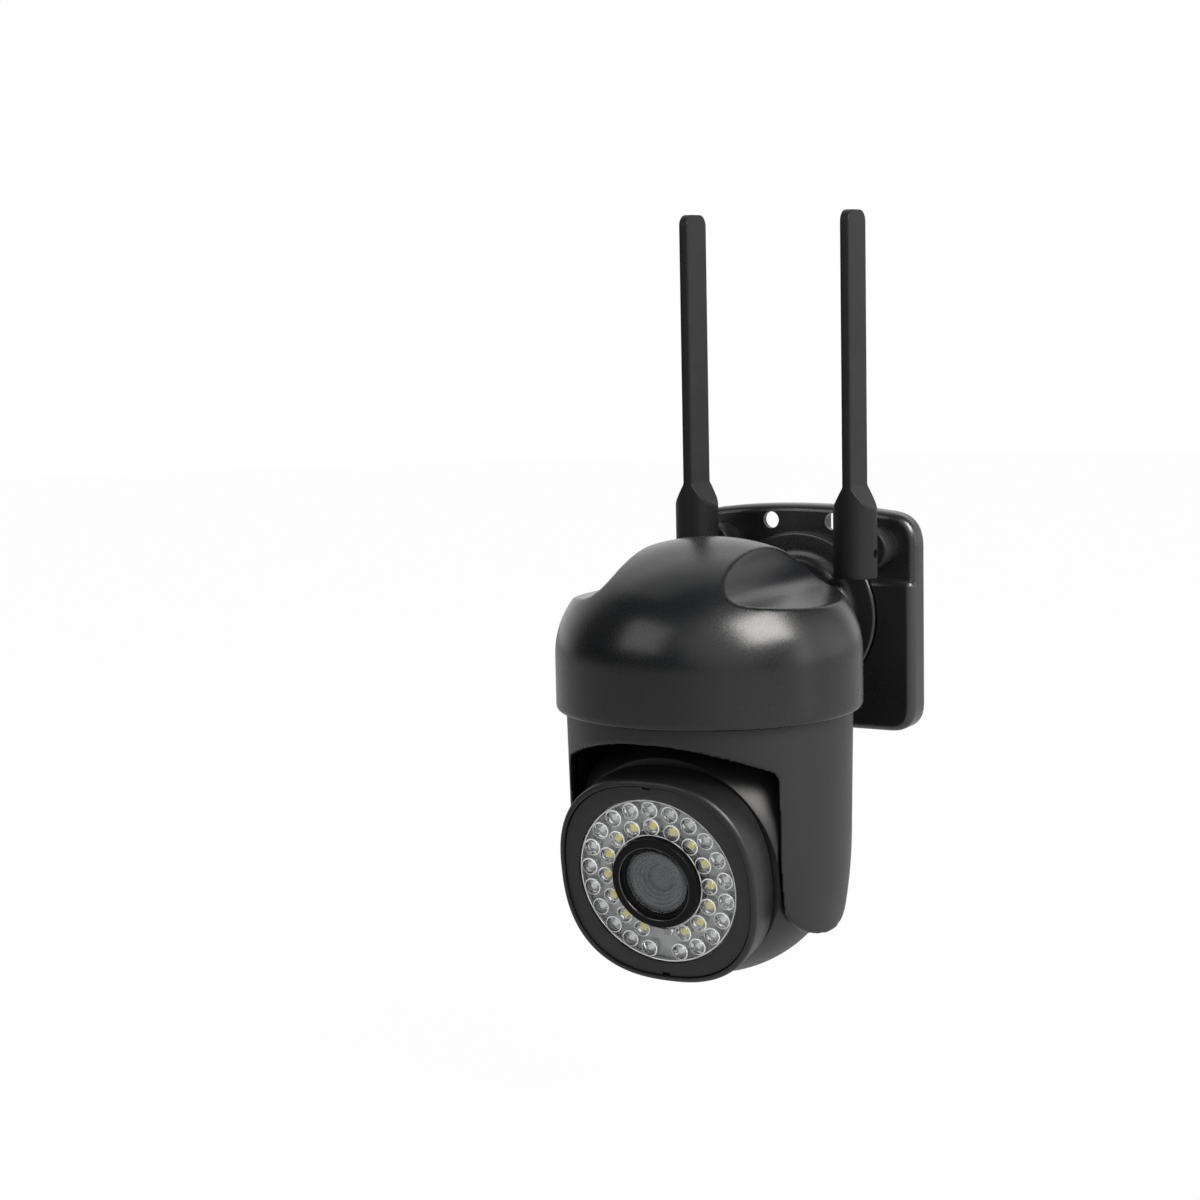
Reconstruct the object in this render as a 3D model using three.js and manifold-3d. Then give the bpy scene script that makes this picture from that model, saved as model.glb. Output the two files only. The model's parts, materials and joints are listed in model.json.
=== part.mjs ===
// Pan-and-tilt security camera on a wall bracket.
//
// Millimetres, +Z up, the wall behind at +Y and the lens towards -Y. The origin is the centre of the
// wall plate's back face. The dome cap hangs on a short hollow arm; the fork turns under it about Z,
// the ball head tilts in the fork about X, and each antenna swivels about Y and folds about X.
import * as THREE from 'three';
import { mergeVertices } from 'three/addons/utils/BufferGeometryUtils.js';
import Module from 'manifold-3d';

const wasm = await Module();
wasm.setup();

// ---------------------------------------------------------------- driving dimensions
// clearances
const gap = 0.3; // between pieces that touch
const runningGap = 0.8; // between the fork's drum and the cap's skirt

// wall plate: "out" sizes are measured from the wall
const plateWidth = 85;
const plateHeight = 79.6;
const plateArchRise = 2.4; // how far the top edge bows up in the middle
const plateTopRadius = 11.5;
const plateBottomRadius = 9;
const plateUpperOut = 9.7; // upper face, behind the antennas
const plateStep = 3; // lower panel stands proud of the upper face by this
const plateStepHeight = 15; // the step, above the plate's centre
const plateWall = 2.4;
const plateEdgeRadius = 2.8;
const ribThickness = 2;
const ribSpacing = 12;
const centreRibThickness = 4.4;
const wallHoleRadius = 2.95;
const wallHoleSpacingX = 23.5;
const wallHoleInset = 5.7; // wall screws, in from the top and bottom edges
const cableHoleRadius = 3.2;
const cableHoleDrop = 6.2;
const grommetFlangeRadius = 3.6;
const grommetBore = 2;

// arm between the plate and the dome
const armHeight = 1.8; // its axis, above the plate's centre
const flangeRadius = 28.9;
const flangeThickness = 3.4;
const armRootRadius = 23;
const armRadius = 18.2;
const armBoreRadius = 5.5;
const armMouthRadius = 11;
const spigotRadius = 8;
const armFrontOut = 27.4; // the arm's front face, where the seal lies
const sealThickness = 1.5;
const neckNutRadius = 11.2;
const neckNutThickness = 4.6;
const armScrewCircle = 25;

// dome cap, about the pan axis; heights are above the cap's rim
const rimDrop = 19.2; // the cap's rim, below the plate's centre
const capRadius = 50;
const skirtHeight = 18;
const domeHeight = 37; // above the skirt
const capWall = 2.5;
const rimBevel = 1.3;
const capBossRadius = 19;
const capBossProud = 4; // the boss's flat face, beyond the skirt
const capPadRadius = 11.4;
const capPadInset = 9; // the nut's seat inside the cap, in from the skirt
const channelSideRoom = 3.3; // between a folded antenna and its channel's wall
const channelFloorRoom = 0.6; // between a folded antenna and its channel's floor
const channelSlope = 0.154; // fall of the floor per mm outwards
const channelFillet = 11;
const baseThickness = 2.5;
const baseScrewInset = 9; // in from the skirt
const baseScrewGrip = 8; // length of screw in the cap's posts
const capPostRadius = 3.6;

// main board
const boardRoom = 1.6; // over the top of the spindle
const boardThickness = 1.6;
const boardSideRoom = 13; // from the board to the skirt
const boardFrontRoom = 6.5; // from the motor to the board
const boardBackRoom = 26;
const boardCornerRoom = 0.63; // between the board and the cap's posts
const boardPostInset = 4;
const boardPostY = 5;
const boardPostRadius = 3;
const boardParts = [ // left and right of the middle, front and back of the board's back edge, height
  { left: -9, right: 9, front: -28, back: -10, height: 1.4 }, // processor
  { left: -32, right: -18, front: -16, back: -10, height: 5 }, // cable socket
  { left: 18, right: 30, front: -10, back: -4, height: 4 }, // antenna sockets
  { left: 14, right: 30, front: -34, back: -22, height: 1.6 }, // radio module
  { left: -31, right: -16, front: -34, back: -21, height: 2 }, // memory
];
const heatFinHeight = 6;
const heatFinSpacing = 4;
const heatFinThickness = 1.4;
const capacitorRadius = 3;
const capacitorHeight = 7;
const capacitorX = -24;
const capacitorInset = 6; // from the board's back edge

// pan drive
const spindleRadius = 12;
const spindleBore = 8.5;
const panBushRadius = 16;
const panBushFlangeRadius = 20;
const bushFlangeThickness = 1.8;
const panModule = 1.2;
const panGearTeeth = 38;
const panPinionTeeth = 11;
const panGearThickness = 4;
const spindleRingWidth = 2.7;
const spindleRingThickness = 1.6;
const motorRadius = 10; // the pan and tilt motors
const panMotorHeight = 12.5;
const motorEarThickness = 1;
const motorEarReach = 13.5;
const motorShaftRadius = 2;
const gearBacklash = 0.14; // added to each gear's centre distance, per mm of module

// fork
const drumTaper = 0.7; // from the drum's top down to its waist
const drumWaistRise = 5; // the waist, above the tilt axis
const earCurve = 170; // radius of the ears' inward sweep below the tilt axis
const drumWall = 2.2;
const deckBottom = 2.6; // above the cap's rim
const deckThickness = 2.4;
const earDepth = 9.8; // thickness of an ear where the drum is widest
const archTop = -5.3; // above the cap's rim
const archRadius = 76; // the bow of the arch's top
const archCorner = 3;
const earBottom = 27.5; // below the tilt axis
const earHalfLength = 28.5;
const earRoundHeight = 24;
const earPower = 2.1;
const earCoverThickness = 1.8;

// ball head, about the tilt axis; "reach" sizes run along the lens axis from the ball's centre
const restTiltDeg = 10.2; // lens below level at rest
const ballInset = 1.6; // the ball, inside the drum's outline
const ballWall = 2.4;
const ballSideRoom = 0.7; // between the ball's flats and the ears
const snoutJoint = 26;
const snoutSideRoom = 2.3; // between the snout and the ears
const snoutFlattening = 0.3; // less high than wide
const snoutPower = 2.45;
const snoutFront = 40.6;
const snoutEdge = 1.6;
const snoutWall = 2.6;
const bezelFace = 40;
const bezelInset = 2.2; // bezel's edge, inside the snout's outline
const bezelThickness = 2.8;
const shelfThickness = 2.9; // the shelf that the bezel and the light board seat on
const bulkheadLand = 8; // between the bulkhead's opening and its screws
const headScrewInset = 1.03; // in from the corners of the shelf's opening
const headPostRadius = 2.8;
const headSealThickness = 0.9;

// lights and lens
const bezelWidth = 4.8; // from the bezel's edge to the light plate
const lightPlateFace = 39.2;
const lightPlateThickness = 1.8;
const lightFlangeThickness = 1;
const lightFlangeWidth = 1.5;
const lightDomeRadius = 2.55;
const lightDomeHeight = 1.5;
const outerRingInset = 3.4; // in from the light plate's edge
const outerRingCount = 21;
const outerRingPitchDeg = 16.7;
const innerRingRoom = 3.4; // out from the hood
const innerRingCount = 15;
const innerRingPitchDeg = 22.35;
const lightBoardRoom = 1; // between the light board and the snout's wall
const lightBoardThickness = 1.6;
const lightChipSize = 2.4;
const lightChipHeight = 1.8;
const sensorWindowRadius = 1.6;
const hoodRadius = 15;
const hoodFace = 41.6;
const hoodFlangeWidth = 1.2;
const glassRadius = 10.5;
const glassFace = 40.4;
const glassThickness = 1.4;
const barrelRadius = 8.8;
const barrelRearRadius = 10.8;
const barrelBack = 14;
const imageBoardSize = 30;
const imageBoardThickness = 1.6;

// tilt drive
const tiltShaftRadius = 5;
const tiltNeckRadius = 3.5; // in the gear
const tiltShaftHeadRadius = 8;
const tiltShaftHeadThickness = 1.5;
const tiltBushBore = 3.4;
const tiltModule = 0.9;
const tiltGearTeeth = 22;
const tiltPinionTeeth = 11;
const tiltGearThickness = 3.5;
const tiltGearRoom = 2.3; // between the gear and the ball's wall
const tiltPinionShaftRadius = 1.5;
const tiltMotorLength = 14;
const motorPostRadius = 2.5;

// antennas
const antennaX = 29.7;
const antennaOut = 31.7; // wall to the fold pin
const antennaDrop = 13.6; // fold pin, below the plate's top corners
const antennaRadius = 7.4;
const antennaFoot = 8.5; // below the pin
const antennaFlareLow = 15; // the blade's flats run out here, above the pin
const antennaFlareHigh = 22.5;
const antennaTop = 114.2; // above the pin
const bladeThickness = 3.3;
const bladeTipRadius = 4.2;
const tongueThickness = 4.4;
const tongueRadius = 5.6;
const foldPinRadius = 1.2;
const foldPinInset = 1.6;
const stubDiscRadius = 7.1;
const stubDiscFront = 9.6; // behind the fold pin
const stubDiscThickness = 6;
const stubShaftRadius = 3.5;
const plateBossRadius = 6.4;
const clipRadius = 6.2;
const clipThickness = 1.8;

// screws
const screwRadius = 1.4;
const screwHeadRadius = 2.8;
const screwHeadHeight = 1.6;

// fineness of round surfaces
const wideSides = 36; // cap, fork, ball and arm
const capInnerSides = 28; // the cap's inside and the base in it
const roundSides = 20;
const smallSides = 10;
const screwSides = 6;
const lightDomeSides = 6;
const outlinePoints = 28;

// ---------------------------------------------------------------- sizes that follow
const beyond = 3 * capRadius; // past everything, for cuts that go right through
const rimHeight = -rimDrop;
const capBossReach = capRadius + capBossProud;
const capPadReach = capRadius - capPadInset;
const panAxisOut = armFrontOut + sealThickness + 2 * gap + capBossReach; // wall to pan axis
const drumRadius = capRadius - capWall - runningGap;
const drumWaist = drumRadius - drumTaper;
const earInnerX = drumRadius - earDepth;
const ballRadius = drumRadius - ballInset;
const ballFlatX = earInnerX - ballSideRoom;
const tiltDrop = ballRadius + runningGap - deckBottom; // tilt axis, below the cap's rim
const snoutHalfWidth = earInnerX - snoutSideRoom;
const snoutHalfHeight = snoutHalfWidth - snoutFlattening;
const plateLowerOut = plateUpperOut + plateStep;
const antennaHeight = plateHeight / 2 - antennaDrop; // above the plate's centre
const cavityFloor = plateUpperOut - plateWall;
const flangeBackOut = plateUpperOut + gap;
const flangeFrontOut = flangeBackOut + flangeThickness;
const armAxisAboveRim = armHeight + rimDrop;
const antennaAboveRim = antennaHeight + rimDrop;
const channelWallX = antennaX - antennaRadius - channelSideRoom;
const channelFloor = antennaAboveRim - antennaRadius - channelFloorRoom;
const nutBackOut = panAxisOut - capPadReach + gap;
const spigotEndOut = nutBackOut + neckNutThickness;
const deckTop = deckBottom + deckThickness;
const baseBottom = deckTop + bushFlangeThickness + 2 * gap;
const baseTop = baseBottom + baseThickness;
const baseScrewCircle = capRadius - baseScrewInset;
const panGearBottom = baseTop + 2 * gap;
const panGearTop = panGearBottom + panGearThickness;
const panCentres = meshDistance(panModule, panGearTeeth, panPinionTeeth);
const spindleTop = panGearTop + gap + spindleRingThickness;
const boardHeight = spindleTop + boardRoom;
const panMotorBottom = spindleTop + gap;
const boardHalfWidth = capRadius - boardSideRoom;
const boardFront = motorRadius + boardFrontRoom - panCentres;
const boardBack = capRadius - boardBackRoom;
const boardPostX = boardHalfWidth - boardPostInset;
const boardCorner = boardHalfWidth + boardBack
  - (baseScrewCircle - capPostRadius - boardCornerRoom) * Math.SQRT2;
const tiltCentres = meshDistance(tiltModule, tiltGearTeeth, tiltPinionTeeth);
const sealBack = snoutJoint + gap;
const snoutBack = sealBack + headSealThickness + gap;
const bezelBack = bezelFace - bezelThickness;
const shelfFront = bezelBack - gap;
const shelfBack = shelfFront - shelfThickness;
const lightPlateRadius = snoutHalfWidth - bezelInset - bezelWidth;
const lightFlangeRadius = lightPlateRadius + lightFlangeWidth;
const shelfHalfWidth = lightFlangeRadius + 0.4;
const headScrewX = shelfHalfWidth / 2 ** (1 / snoutPower) - headScrewInset;
const bulkheadOpening = headScrewX * Math.SQRT2 - bulkheadLand;
const lightBoardRadius = snoutHalfWidth - snoutWall - lightBoardRoom;
const outerRingRadius = lightPlateRadius - outerRingInset;
const innerRingRadius = hoodRadius + innerRingRoom;
const hoodFlangeRadius = hoodRadius + hoodFlangeWidth;
const lightFlangeFront = bezelBack - gap;
const lightFlangeBack = lightFlangeFront - lightFlangeThickness;
const hoodFlangeFront = lightFlangeBack - gap;
const glassBack = glassFace - glassThickness;
const lightBoardFront = shelfBack - gap;
const hoodBack = lightBoardFront + gap;
const lightBoardBack = lightBoardFront - lightBoardThickness;
const archBowCentre = archTop - archRadius;
const archShoulder = archBowCentre + Math.sqrt((archRadius - archCorner) ** 2 - (earInnerX - archCorner) ** 2);
const tiltGearX = ballFlatX - ballWall - tiltGearRoom - tiltGearThickness; // the gear's inner face
const shaftHeadX = earInnerX + earCoverThickness + gap;
const tiltMotorFace = tiltGearX - 1;

// ---------------------------------------------------------------- solids and placing
const degrees = THREE.MathUtils.degToRad;

// A closed geometry as a solid, its faces turned outwards.
function solid(geometry) {
  const bare = geometry.clone();
  bare.deleteAttribute('normal');
  bare.deleteAttribute('uv');
  const merged = mergeVertices(bare, 1e-4);
  const at = merged.attributes.position;
  const corners = merged.index.array;
  const triangles = [];
  for (let i = 0; i < corners.length; i += 3) {
    const [a, b, c] = [corners[i], corners[i + 1], corners[i + 2]];
    if (a !== b && b !== c && c !== a) triangles.push(a, b, c);
  }
  const [p, q, r] = [new THREE.Vector3(), new THREE.Vector3(), new THREE.Vector3()];
  let volume = 0;
  for (let i = 0; i < triangles.length; i += 3) {
    p.fromBufferAttribute(at, triangles[i]);
    q.fromBufferAttribute(at, triangles[i + 1]);
    r.fromBufferAttribute(at, triangles[i + 2]);
    volume += p.dot(q.cross(r));
  }
  const triVerts = new Uint32Array(volume < 0 ? triangles.reverse() : triangles);
  return new wasm.Manifold(new wasm.Mesh({ numProp: 3, vertProperties: at.array, triVerts }));
}

function geometryOf(body) {
  const mesh = body.getMesh();
  const geometry = new THREE.BufferGeometry();
  geometry.setAttribute('position', new THREE.BufferAttribute(new Float32Array(mesh.vertProperties), 3));
  geometry.setIndex(new THREE.BufferAttribute(new Uint32Array(mesh.triVerts), 1));
  geometry.computeVertexNormals();
  return geometry;
}

function join(first, ...others) {
  return others.reduce((sum, other) => sum.add(other), first);
}

function cut(first, ...others) {
  return others.reduce((rest, other) => rest.subtract(other), first);
}

// Shapes are drawn in XY and built along +Z; these turn +Z to another axis.
const toFront = (geometry) => geometry.rotateX(Math.PI / 2); // +Z to -Y, +Y to +Z
const toSide = (geometry) => geometry.rotateZ(Math.PI / 2).rotateY(Math.PI / 2); // +Z to +X, +X to +Y, +Y to +Z

// A profile of [radius, height] points turned about Z. A ring's profile doesn't reach the axis.
function turned(profile, sides = roundSides) {
  const points = profile.map(([radius, height]) => new THREE.Vector2(radius, height));
  if (profile[0][0] > 0) points.push(points[0].clone());
  return new THREE.LatheGeometry(points, sides).rotateX(Math.PI / 2);
}

function disc(radius, low, high, sides = roundSides) {
  return turned([[0, low], [radius, low], [radius, high], [0, high]], sides);
}

function tube(outer, inner, low, high, sides = roundSides) {
  return turned([[inner, low], [outer, low], [outer, high], [inner, high]], sides);
}

function prism(shape, low, high, curveSegments = 8) {
  const geometry = new THREE.ExtrudeGeometry(shape, { depth: high - low, bevelEnabled: false, curveSegments });
  return geometry.translate(0, 0, low);
}

// A prism whose far rim is rounded over.
function cushion(shape, low, high, radius, curveSegments = 8) {
  const options = {
    depth: high - low, bevelThickness: radius, bevelSize: radius, bevelOffset: -radius, bevelSegments: 2, curveSegments,
  };
  const body = solid(new THREE.ExtrudeGeometry(shape, options).translate(0, 0, low - radius));
  return body.intersect(solid(block(-beyond, beyond, -beyond, beyond, low, beyond)));
}

function block(xLow, xHigh, yLow, yHigh, zLow, zHigh) {
  const geometry = new THREE.BoxGeometry(xHigh - xLow, yHigh - yLow, zHigh - zLow);
  return geometry.translate((xLow + xHigh) / 2, (yLow + yHigh) / 2, (zLow + zHigh) / 2);
}

function pointsShape(points) {
  return new THREE.Shape(points.map(([x, y]) => new THREE.Vector2(x, y)));
}

// Closed curve |x/a|^n + |y/b|^n = 1.
function superellipse(a, b, power, count = outlinePoints) {
  const points = [];
  for (let i = 0; i < count; i += 1) {
    const angle = (2 * Math.PI * i) / count;
    const [c, s] = [Math.cos(angle), Math.sin(angle)];
    const radius = (Math.abs(c / a) ** power + Math.abs(s / b) ** power) ** (-1 / power);
    points.push([radius * c, radius * s]);
  }
  return pointsShape(points);
}

// Places on a circle, as [x, y] pairs.
function circlePlaces(count, radius, startDeg) {
  return Array.from({ length: count }, (_, i) => {
    const angle = degrees(startDeg + (360 * i) / count);
    return [radius * Math.cos(angle), radius * Math.sin(angle)];
  });
}

// ---------------------------------------------------------------- gears
function meshDistance(module, teeth, pinionTeeth) {
  return (module * (teeth + pinionTeeth)) / 2 + gearBacklash * module;
}

// Outline of an involute spur gear with one tooth centred on toothDeg.
function gearShape(teeth, module, toothDeg) {
  const pitch = (module * teeth) / 2;
  const base = pitch * Math.cos(degrees(20));
  const tip = pitch + 0.85 * module;
  const root = pitch - 1.2 * module;
  const involute = (radius) => {
    const ratio = Math.max(1, radius / base);
    return Math.sqrt(ratio * ratio - 1) - Math.acos(1 / ratio);
  };
  const halfTooth = (Math.PI * 0.5 - 0.16) / teeth; // half the tooth's angle at the pitch circle
  const halfAngle = (radius) => halfTooth + involute(pitch) - involute(radius);
  const radii = [root, pitch, tip];
  const points = [];
  for (let i = 0; i < teeth; i += 1) {
    const centre = degrees(toothDeg) + (2 * Math.PI * i) / teeth;
    for (const radius of radii) {
      const angle = centre - halfAngle(radius);
      points.push([radius * Math.cos(angle), radius * Math.sin(angle)]);
    }
    for (const radius of [...radii].reverse()) {
      const angle = centre + halfAngle(radius);
      points.push([radius * Math.cos(angle), radius * Math.sin(angle)]);
    }
  }
  return pointsShape(points);
}

// Where a pinion's first tooth points so that a gap faces the gear, which lies at gearDeg.
function pinionTooth(teeth, gearDeg) {
  return gearDeg + 180 / teeth;
}

// ---------------------------------------------------------------- scene graph
const looks = {
  satinBlack: { color: 0x1b1c1e, roughness: 0.42 },
  glossBlack: { color: 0x151517, roughness: 0.3 },
  matteBlack: { color: 0x101011, roughness: 0.7 },
  antennaBlack: { color: 0x161719, roughness: 0.6 },
  rubber: { color: 0x141414, roughness: 0.85 },
  nylon: { color: 0xd8d6cd, roughness: 0.5 },
  board: { color: 0x1d4a33, roughness: 0.55 },
  paleBoard: { color: 0xb9b8b2, roughness: 0.5 },
  clearPlastic: { color: 0xe6ecee, roughness: 0.1 },
  glass: { color: 0x30363b, roughness: 0.05 },
  steel: { color: 0x8f9194, roughness: 0.35, metalness: 1 },
  barrelMetal: { color: 0x232426, roughness: 0.4, metalness: 0.6 },
  sensor: { color: 0x3a3030, roughness: 0.2 },
};
const materials = Object.fromEntries(
  Object.entries(looks).map(([name, look]) => [name, new THREE.MeshStandardMaterial({ metalness: 0, ...look })]),
);

const camera = new THREE.Group();

function group(parent, x, y, z, tiltX = 0) {
  const made = new THREE.Group();
  made.position.set(x, y, z);
  made.rotation.x = tiltX;
  parent.add(made);
  return made;
}

const capGroup = group(camera, 0, -panAxisOut, rimHeight);
const headGroup = group(capGroup, 0, 0, -tiltDrop, degrees(restTiltDeg));

function add(parent, name, body, look, x = 0, y = 0, z = 0) {
  const mesh = new THREE.Mesh(geometryOf(body), materials[look]);
  mesh.name = name;
  mesh.position.set(x, y, z);
  parent.add(mesh);
  return mesh;
}

// A pan-head screw whose shank runs along +Z from under its head, in XY at the origin.
function screw(length) {
  return turned([[0, -screwHeadHeight], [screwHeadRadius, -screwHeadHeight], [screwHeadRadius, 0],
    [screwRadius, 0], [screwRadius, length], [0, length]], screwSides);
}

// ---------------------------------------------------------------- wall bracket
function plateShape(inset, top = plateHeight / 2) {
  const side = plateWidth / 2 - inset;
  const bottom = -plateHeight / 2 + inset;
  const crown = top - inset;
  const shoulder = crown - plateArchRise;
  const topRadius = plateTopRadius - inset;
  const bottomRadius = plateBottomRadius - inset;
  const shape = new THREE.Shape();
  shape.moveTo(-side + bottomRadius, bottom);
  shape.lineTo(side - bottomRadius, bottom);
  shape.quadraticCurveTo(side, bottom, side, bottom + bottomRadius);
  shape.lineTo(side, shoulder - topRadius);
  shape.quadraticCurveTo(side, shoulder, side - topRadius, shoulder + plateArchRise * 0.25);
  shape.quadraticCurveTo(side * 0.4, crown, 0, crown);
  shape.quadraticCurveTo(-side * 0.4, crown, -side + topRadius, shoulder + plateArchRise * 0.25);
  shape.quadraticCurveTo(-side, shoulder, -side, shoulder - topRadius);
  shape.lineTo(-side, bottom + bottomRadius);
  shape.quadraticCurveTo(-side, bottom, -side + bottomRadius, bottom);
  return shape;
}

function lowerPanelShape(inset) {
  const side = plateWidth / 2 - inset;
  const bottom = -plateHeight / 2 + inset;
  const radius = plateBottomRadius - inset;
  const top = plateStepHeight - inset;
  const shape = new THREE.Shape();
  shape.moveTo(-side + radius, bottom);
  shape.lineTo(side - radius, bottom);
  shape.quadraticCurveTo(side, bottom, side, bottom + radius);
  shape.lineTo(side, top);
  shape.lineTo(-side, top);
  shape.lineTo(-side, bottom + radius);
  shape.quadraticCurveTo(-side, bottom, -side + radius, bottom);
  return shape;
}

const wallHoles = [1, -1].flatMap((up) => [-1, 1].map((side) => [
  (side * wallHoleSpacingX) / 2, up * (plateHeight / 2 - wallHoleInset)]));

const armScrewPlaces = circlePlaces(4, armScrewCircle, 45).map(([x, y]) => [x, y + armHeight]);

function wallPlate() {
  const bossOut = antennaOut - stubDiscFront - stubDiscThickness - gap;
  const upper = cushion(plateShape(0), 0, plateUpperOut, plateEdgeRadius, 3);
  const lower = cushion(lowerPanelShape(0), 0, plateLowerOut, plateEdgeRadius, 3);
  const deeper = cut(solid(prism(lowerPanelShape(plateWall), -1, plateLowerOut - plateWall, 3)),
    solid(disc(flangeRadius + plateWall, -2, plateLowerOut, roundSides).translate(0, armHeight, 0)));
  const ribLength = plateWidth / 2 - 1;
  const ribHeight = plateHeight / 2 - 1;
  const ribs = [
    block(-ribLength, ribLength, -centreRibThickness / 2, centreRibThickness / 2, 0, cavityFloor + 0.5),
    ...[-1, 1].map((side) => {
      const x = (side * ribSpacing) / 2;
      return block(x - ribThickness / 2, x + ribThickness / 2, -ribHeight, ribHeight, 0, cavityFloor + 0.5);
    }),
  ];
  const hollow = cut(join(solid(prism(plateShape(plateWall), -1, cavityFloor, 3)), deeper), ...ribs.map(solid));
  const recess = disc(flangeRadius + 2 * gap, plateUpperOut, plateLowerOut + 1, wideSides).translate(0, armHeight, 0);
  const bosses = [-1, 1].map((side) => (
    disc(plateBossRadius, cavityFloor, bossOut, 16).translate(side * antennaX, antennaHeight, 0)));
  const holes = [
    ...wallHoles.map(([x, y]) => disc(wallHoleRadius, -1, plateLowerOut + 1, 16).translate(x, y, 0)),
    ...[-1, 1].map((side) => (
      disc(stubShaftRadius + gap, -1, bossOut + 1, 16).translate(side * antennaX, antennaHeight, 0))),
    ...armScrewPlaces.map(([x, y]) => disc(screwRadius + gap, -1, plateLowerOut, screwSides).translate(x, y, 0)),
    disc(cableHoleRadius, -1, plateLowerOut, smallSides).translate(0, -cableHoleDrop, 0),
  ];
  const shell = cut(join(upper, lower), hollow, solid(recess));
  return cut(join(shell, ...bosses.map(solid)), ...holes.map(solid));
}

function bracketArm() {
  const fillet = armRootRadius - armRadius;
  const sweep = [0, 1, 2, 3].map((i) => {
    const angle = (Math.PI / 2) * (i / 3);
    return [armRootRadius - fillet * Math.sin(angle), flangeFrontOut + fillet * (1 - Math.cos(angle))];
  });
  const arm = solid(turned([
    [armMouthRadius, flangeBackOut], [flangeRadius, flangeBackOut], [flangeRadius, flangeFrontOut - 0.8],
    [flangeRadius - 0.8, flangeFrontOut], ...sweep, [armRadius, armFrontOut], [spigotRadius, armFrontOut],
    [spigotRadius, spigotEndOut], [armBoreRadius, spigotEndOut], [armBoreRadius, flangeFrontOut + 6],
    [armMouthRadius, flangeFrontOut + 2],
  ], wideSides - 4));
  const screwHoles = armScrewPlaces.map(([x, y]) => (
    disc(screwRadius + gap, flangeBackOut - 1, flangeBackOut + 2.6, screwSides).translate(x, y - armHeight, 0)));
  return cut(arm, ...screwHoles.map(solid));
}

function cableGrommet() {
  return solid(turned([
    [grommetBore, cavityFloor - gap - clipThickness], [grommetFlangeRadius, cavityFloor - gap - clipThickness],
    [grommetFlangeRadius, cavityFloor - gap], [cableHoleRadius - gap, cavityFloor - gap],
    [cableHoleRadius - gap, plateUpperOut], [grommetBore, plateUpperOut],
  ], smallSides));
}

function addBracket() {
  const plateGroup = group(camera, 0, 0, 0, Math.PI / 2); // local +Z points out from the wall
  add(plateGroup, 'wall_plate', wallPlate(), 'glossBlack');
  add(plateGroup, 'bracket_arm', bracketArm(), 'glossBlack', 0, armHeight, 0);
  add(plateGroup, 'cable_grommet', cableGrommet(), 'rubber', 0, -cableHoleDrop, 0);
  const armSeal = tube(armRadius, spigotRadius + gap, armFrontOut + gap, armFrontOut + gap + sealThickness);
  add(plateGroup, 'arm_seal', solid(armSeal), 'rubber', 0, armHeight, 0);
  const nut = cut(solid(disc(neckNutRadius, nutBackOut, nutBackOut + neckNutThickness, 6)),
    solid(disc(spigotRadius + gap, 0, beyond, 24)));
  add(plateGroup, 'arm_nut', nut, 'matteBlack', 0, armHeight, 0);
  const screwLength = flangeBackOut + 2.2 - (cavityFloor - gap);
  armScrewPlaces.forEach(([x, y], i) => {
    add(plateGroup, `arm_screw_${i + 1}`, solid(screw(screwLength)), 'steel', x, y, cavityFloor - gap);
  });
}

// ---------------------------------------------------------------- dome cap
// Quarter ellipse from [radius, base] up to [0, base + height].
function domeCurve(radius, base, height, steps) {
  return Array.from({ length: steps + 1 }, (_, i) => {
    const angle = (Math.PI / 2) * (i / steps);
    return [radius * Math.cos(angle), base + height * Math.sin(angle)];
  });
}

// Section of the channels that the antennas fold down into, grown by the cap's wall for the inside.
function channelShape(side, grow) {
  const wallX = channelWallX - grow;
  const floorAt = (x) => channelFloor - grow - channelSlope * (x - antennaX);
  const far = beyond;
  const high = beyond;
  const shape = new THREE.Shape();
  shape.moveTo(side * wallX, high);
  shape.lineTo(side * wallX, floorAt(wallX) + channelFillet);
  shape.quadraticCurveTo(side * wallX, floorAt(wallX),
    side * (wallX + channelFillet), floorAt(wallX + channelFillet));
  shape.lineTo(side * far, floorAt(far));
  shape.lineTo(side * far, high);
  return shape;
}

function channels(grow) {
  return [-1, 1].map((side) => solid(toFront(prism(channelShape(side, grow), -beyond, beyond, 3))));
}

const toBack = (geometry) => geometry.rotateX(-Math.PI / 2); // +Z to +Y, +Y to -Z
const capPostPlaces = circlePlaces(4, baseScrewCircle, 45);

function domeCap() {
  const outline = [[0, 0], [capRadius - rimBevel, 0], [capRadius, rimBevel],
    ...domeCurve(capRadius, skirtHeight, domeHeight, 8)];
  const hollow = [[0, -1], [capRadius - capWall, -1],
    ...domeCurve(capRadius - capWall, skirtHeight, domeHeight - capWall, 5)];
  outline[outline.length - 1][0] = 0;
  hollow[hollow.length - 1][0] = 0;
  const boss = toBack(disc(capBossRadius, capPadReach, capBossReach, 28)).translate(0, 0, armAxisAboveRim);
  const pad = toBack(disc(capPadRadius, capPadReach, capBossReach, 20)).translate(0, 0, armAxisAboveRim);
  const bore = toBack(disc(spigotRadius + gap, 0, capBossReach + 1, 24)).translate(0, 0, armAxisAboveRim);
  const posts = capPostPlaces.map(([x, y]) => (
    disc(capPostRadius, baseTop + gap, skirtHeight + domeHeight, 10).translate(x, y, 0)));
  const postHoles = capPostPlaces.map(([x, y]) => (
    disc(screwRadius + gap, baseTop, baseTop + baseScrewGrip + 1, screwSides).translate(x, y, 0)));
  const cavity = cut(solid(turned(hollow, capInnerSides)), ...channels(capWall), ...posts.map(solid), solid(pad));
  const body = cut(join(solid(turned(outline, wideSides + 4)), solid(boss)), ...channels(0));
  return cut(body, cavity, solid(bore), ...postHoles.map(solid));
}

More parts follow.
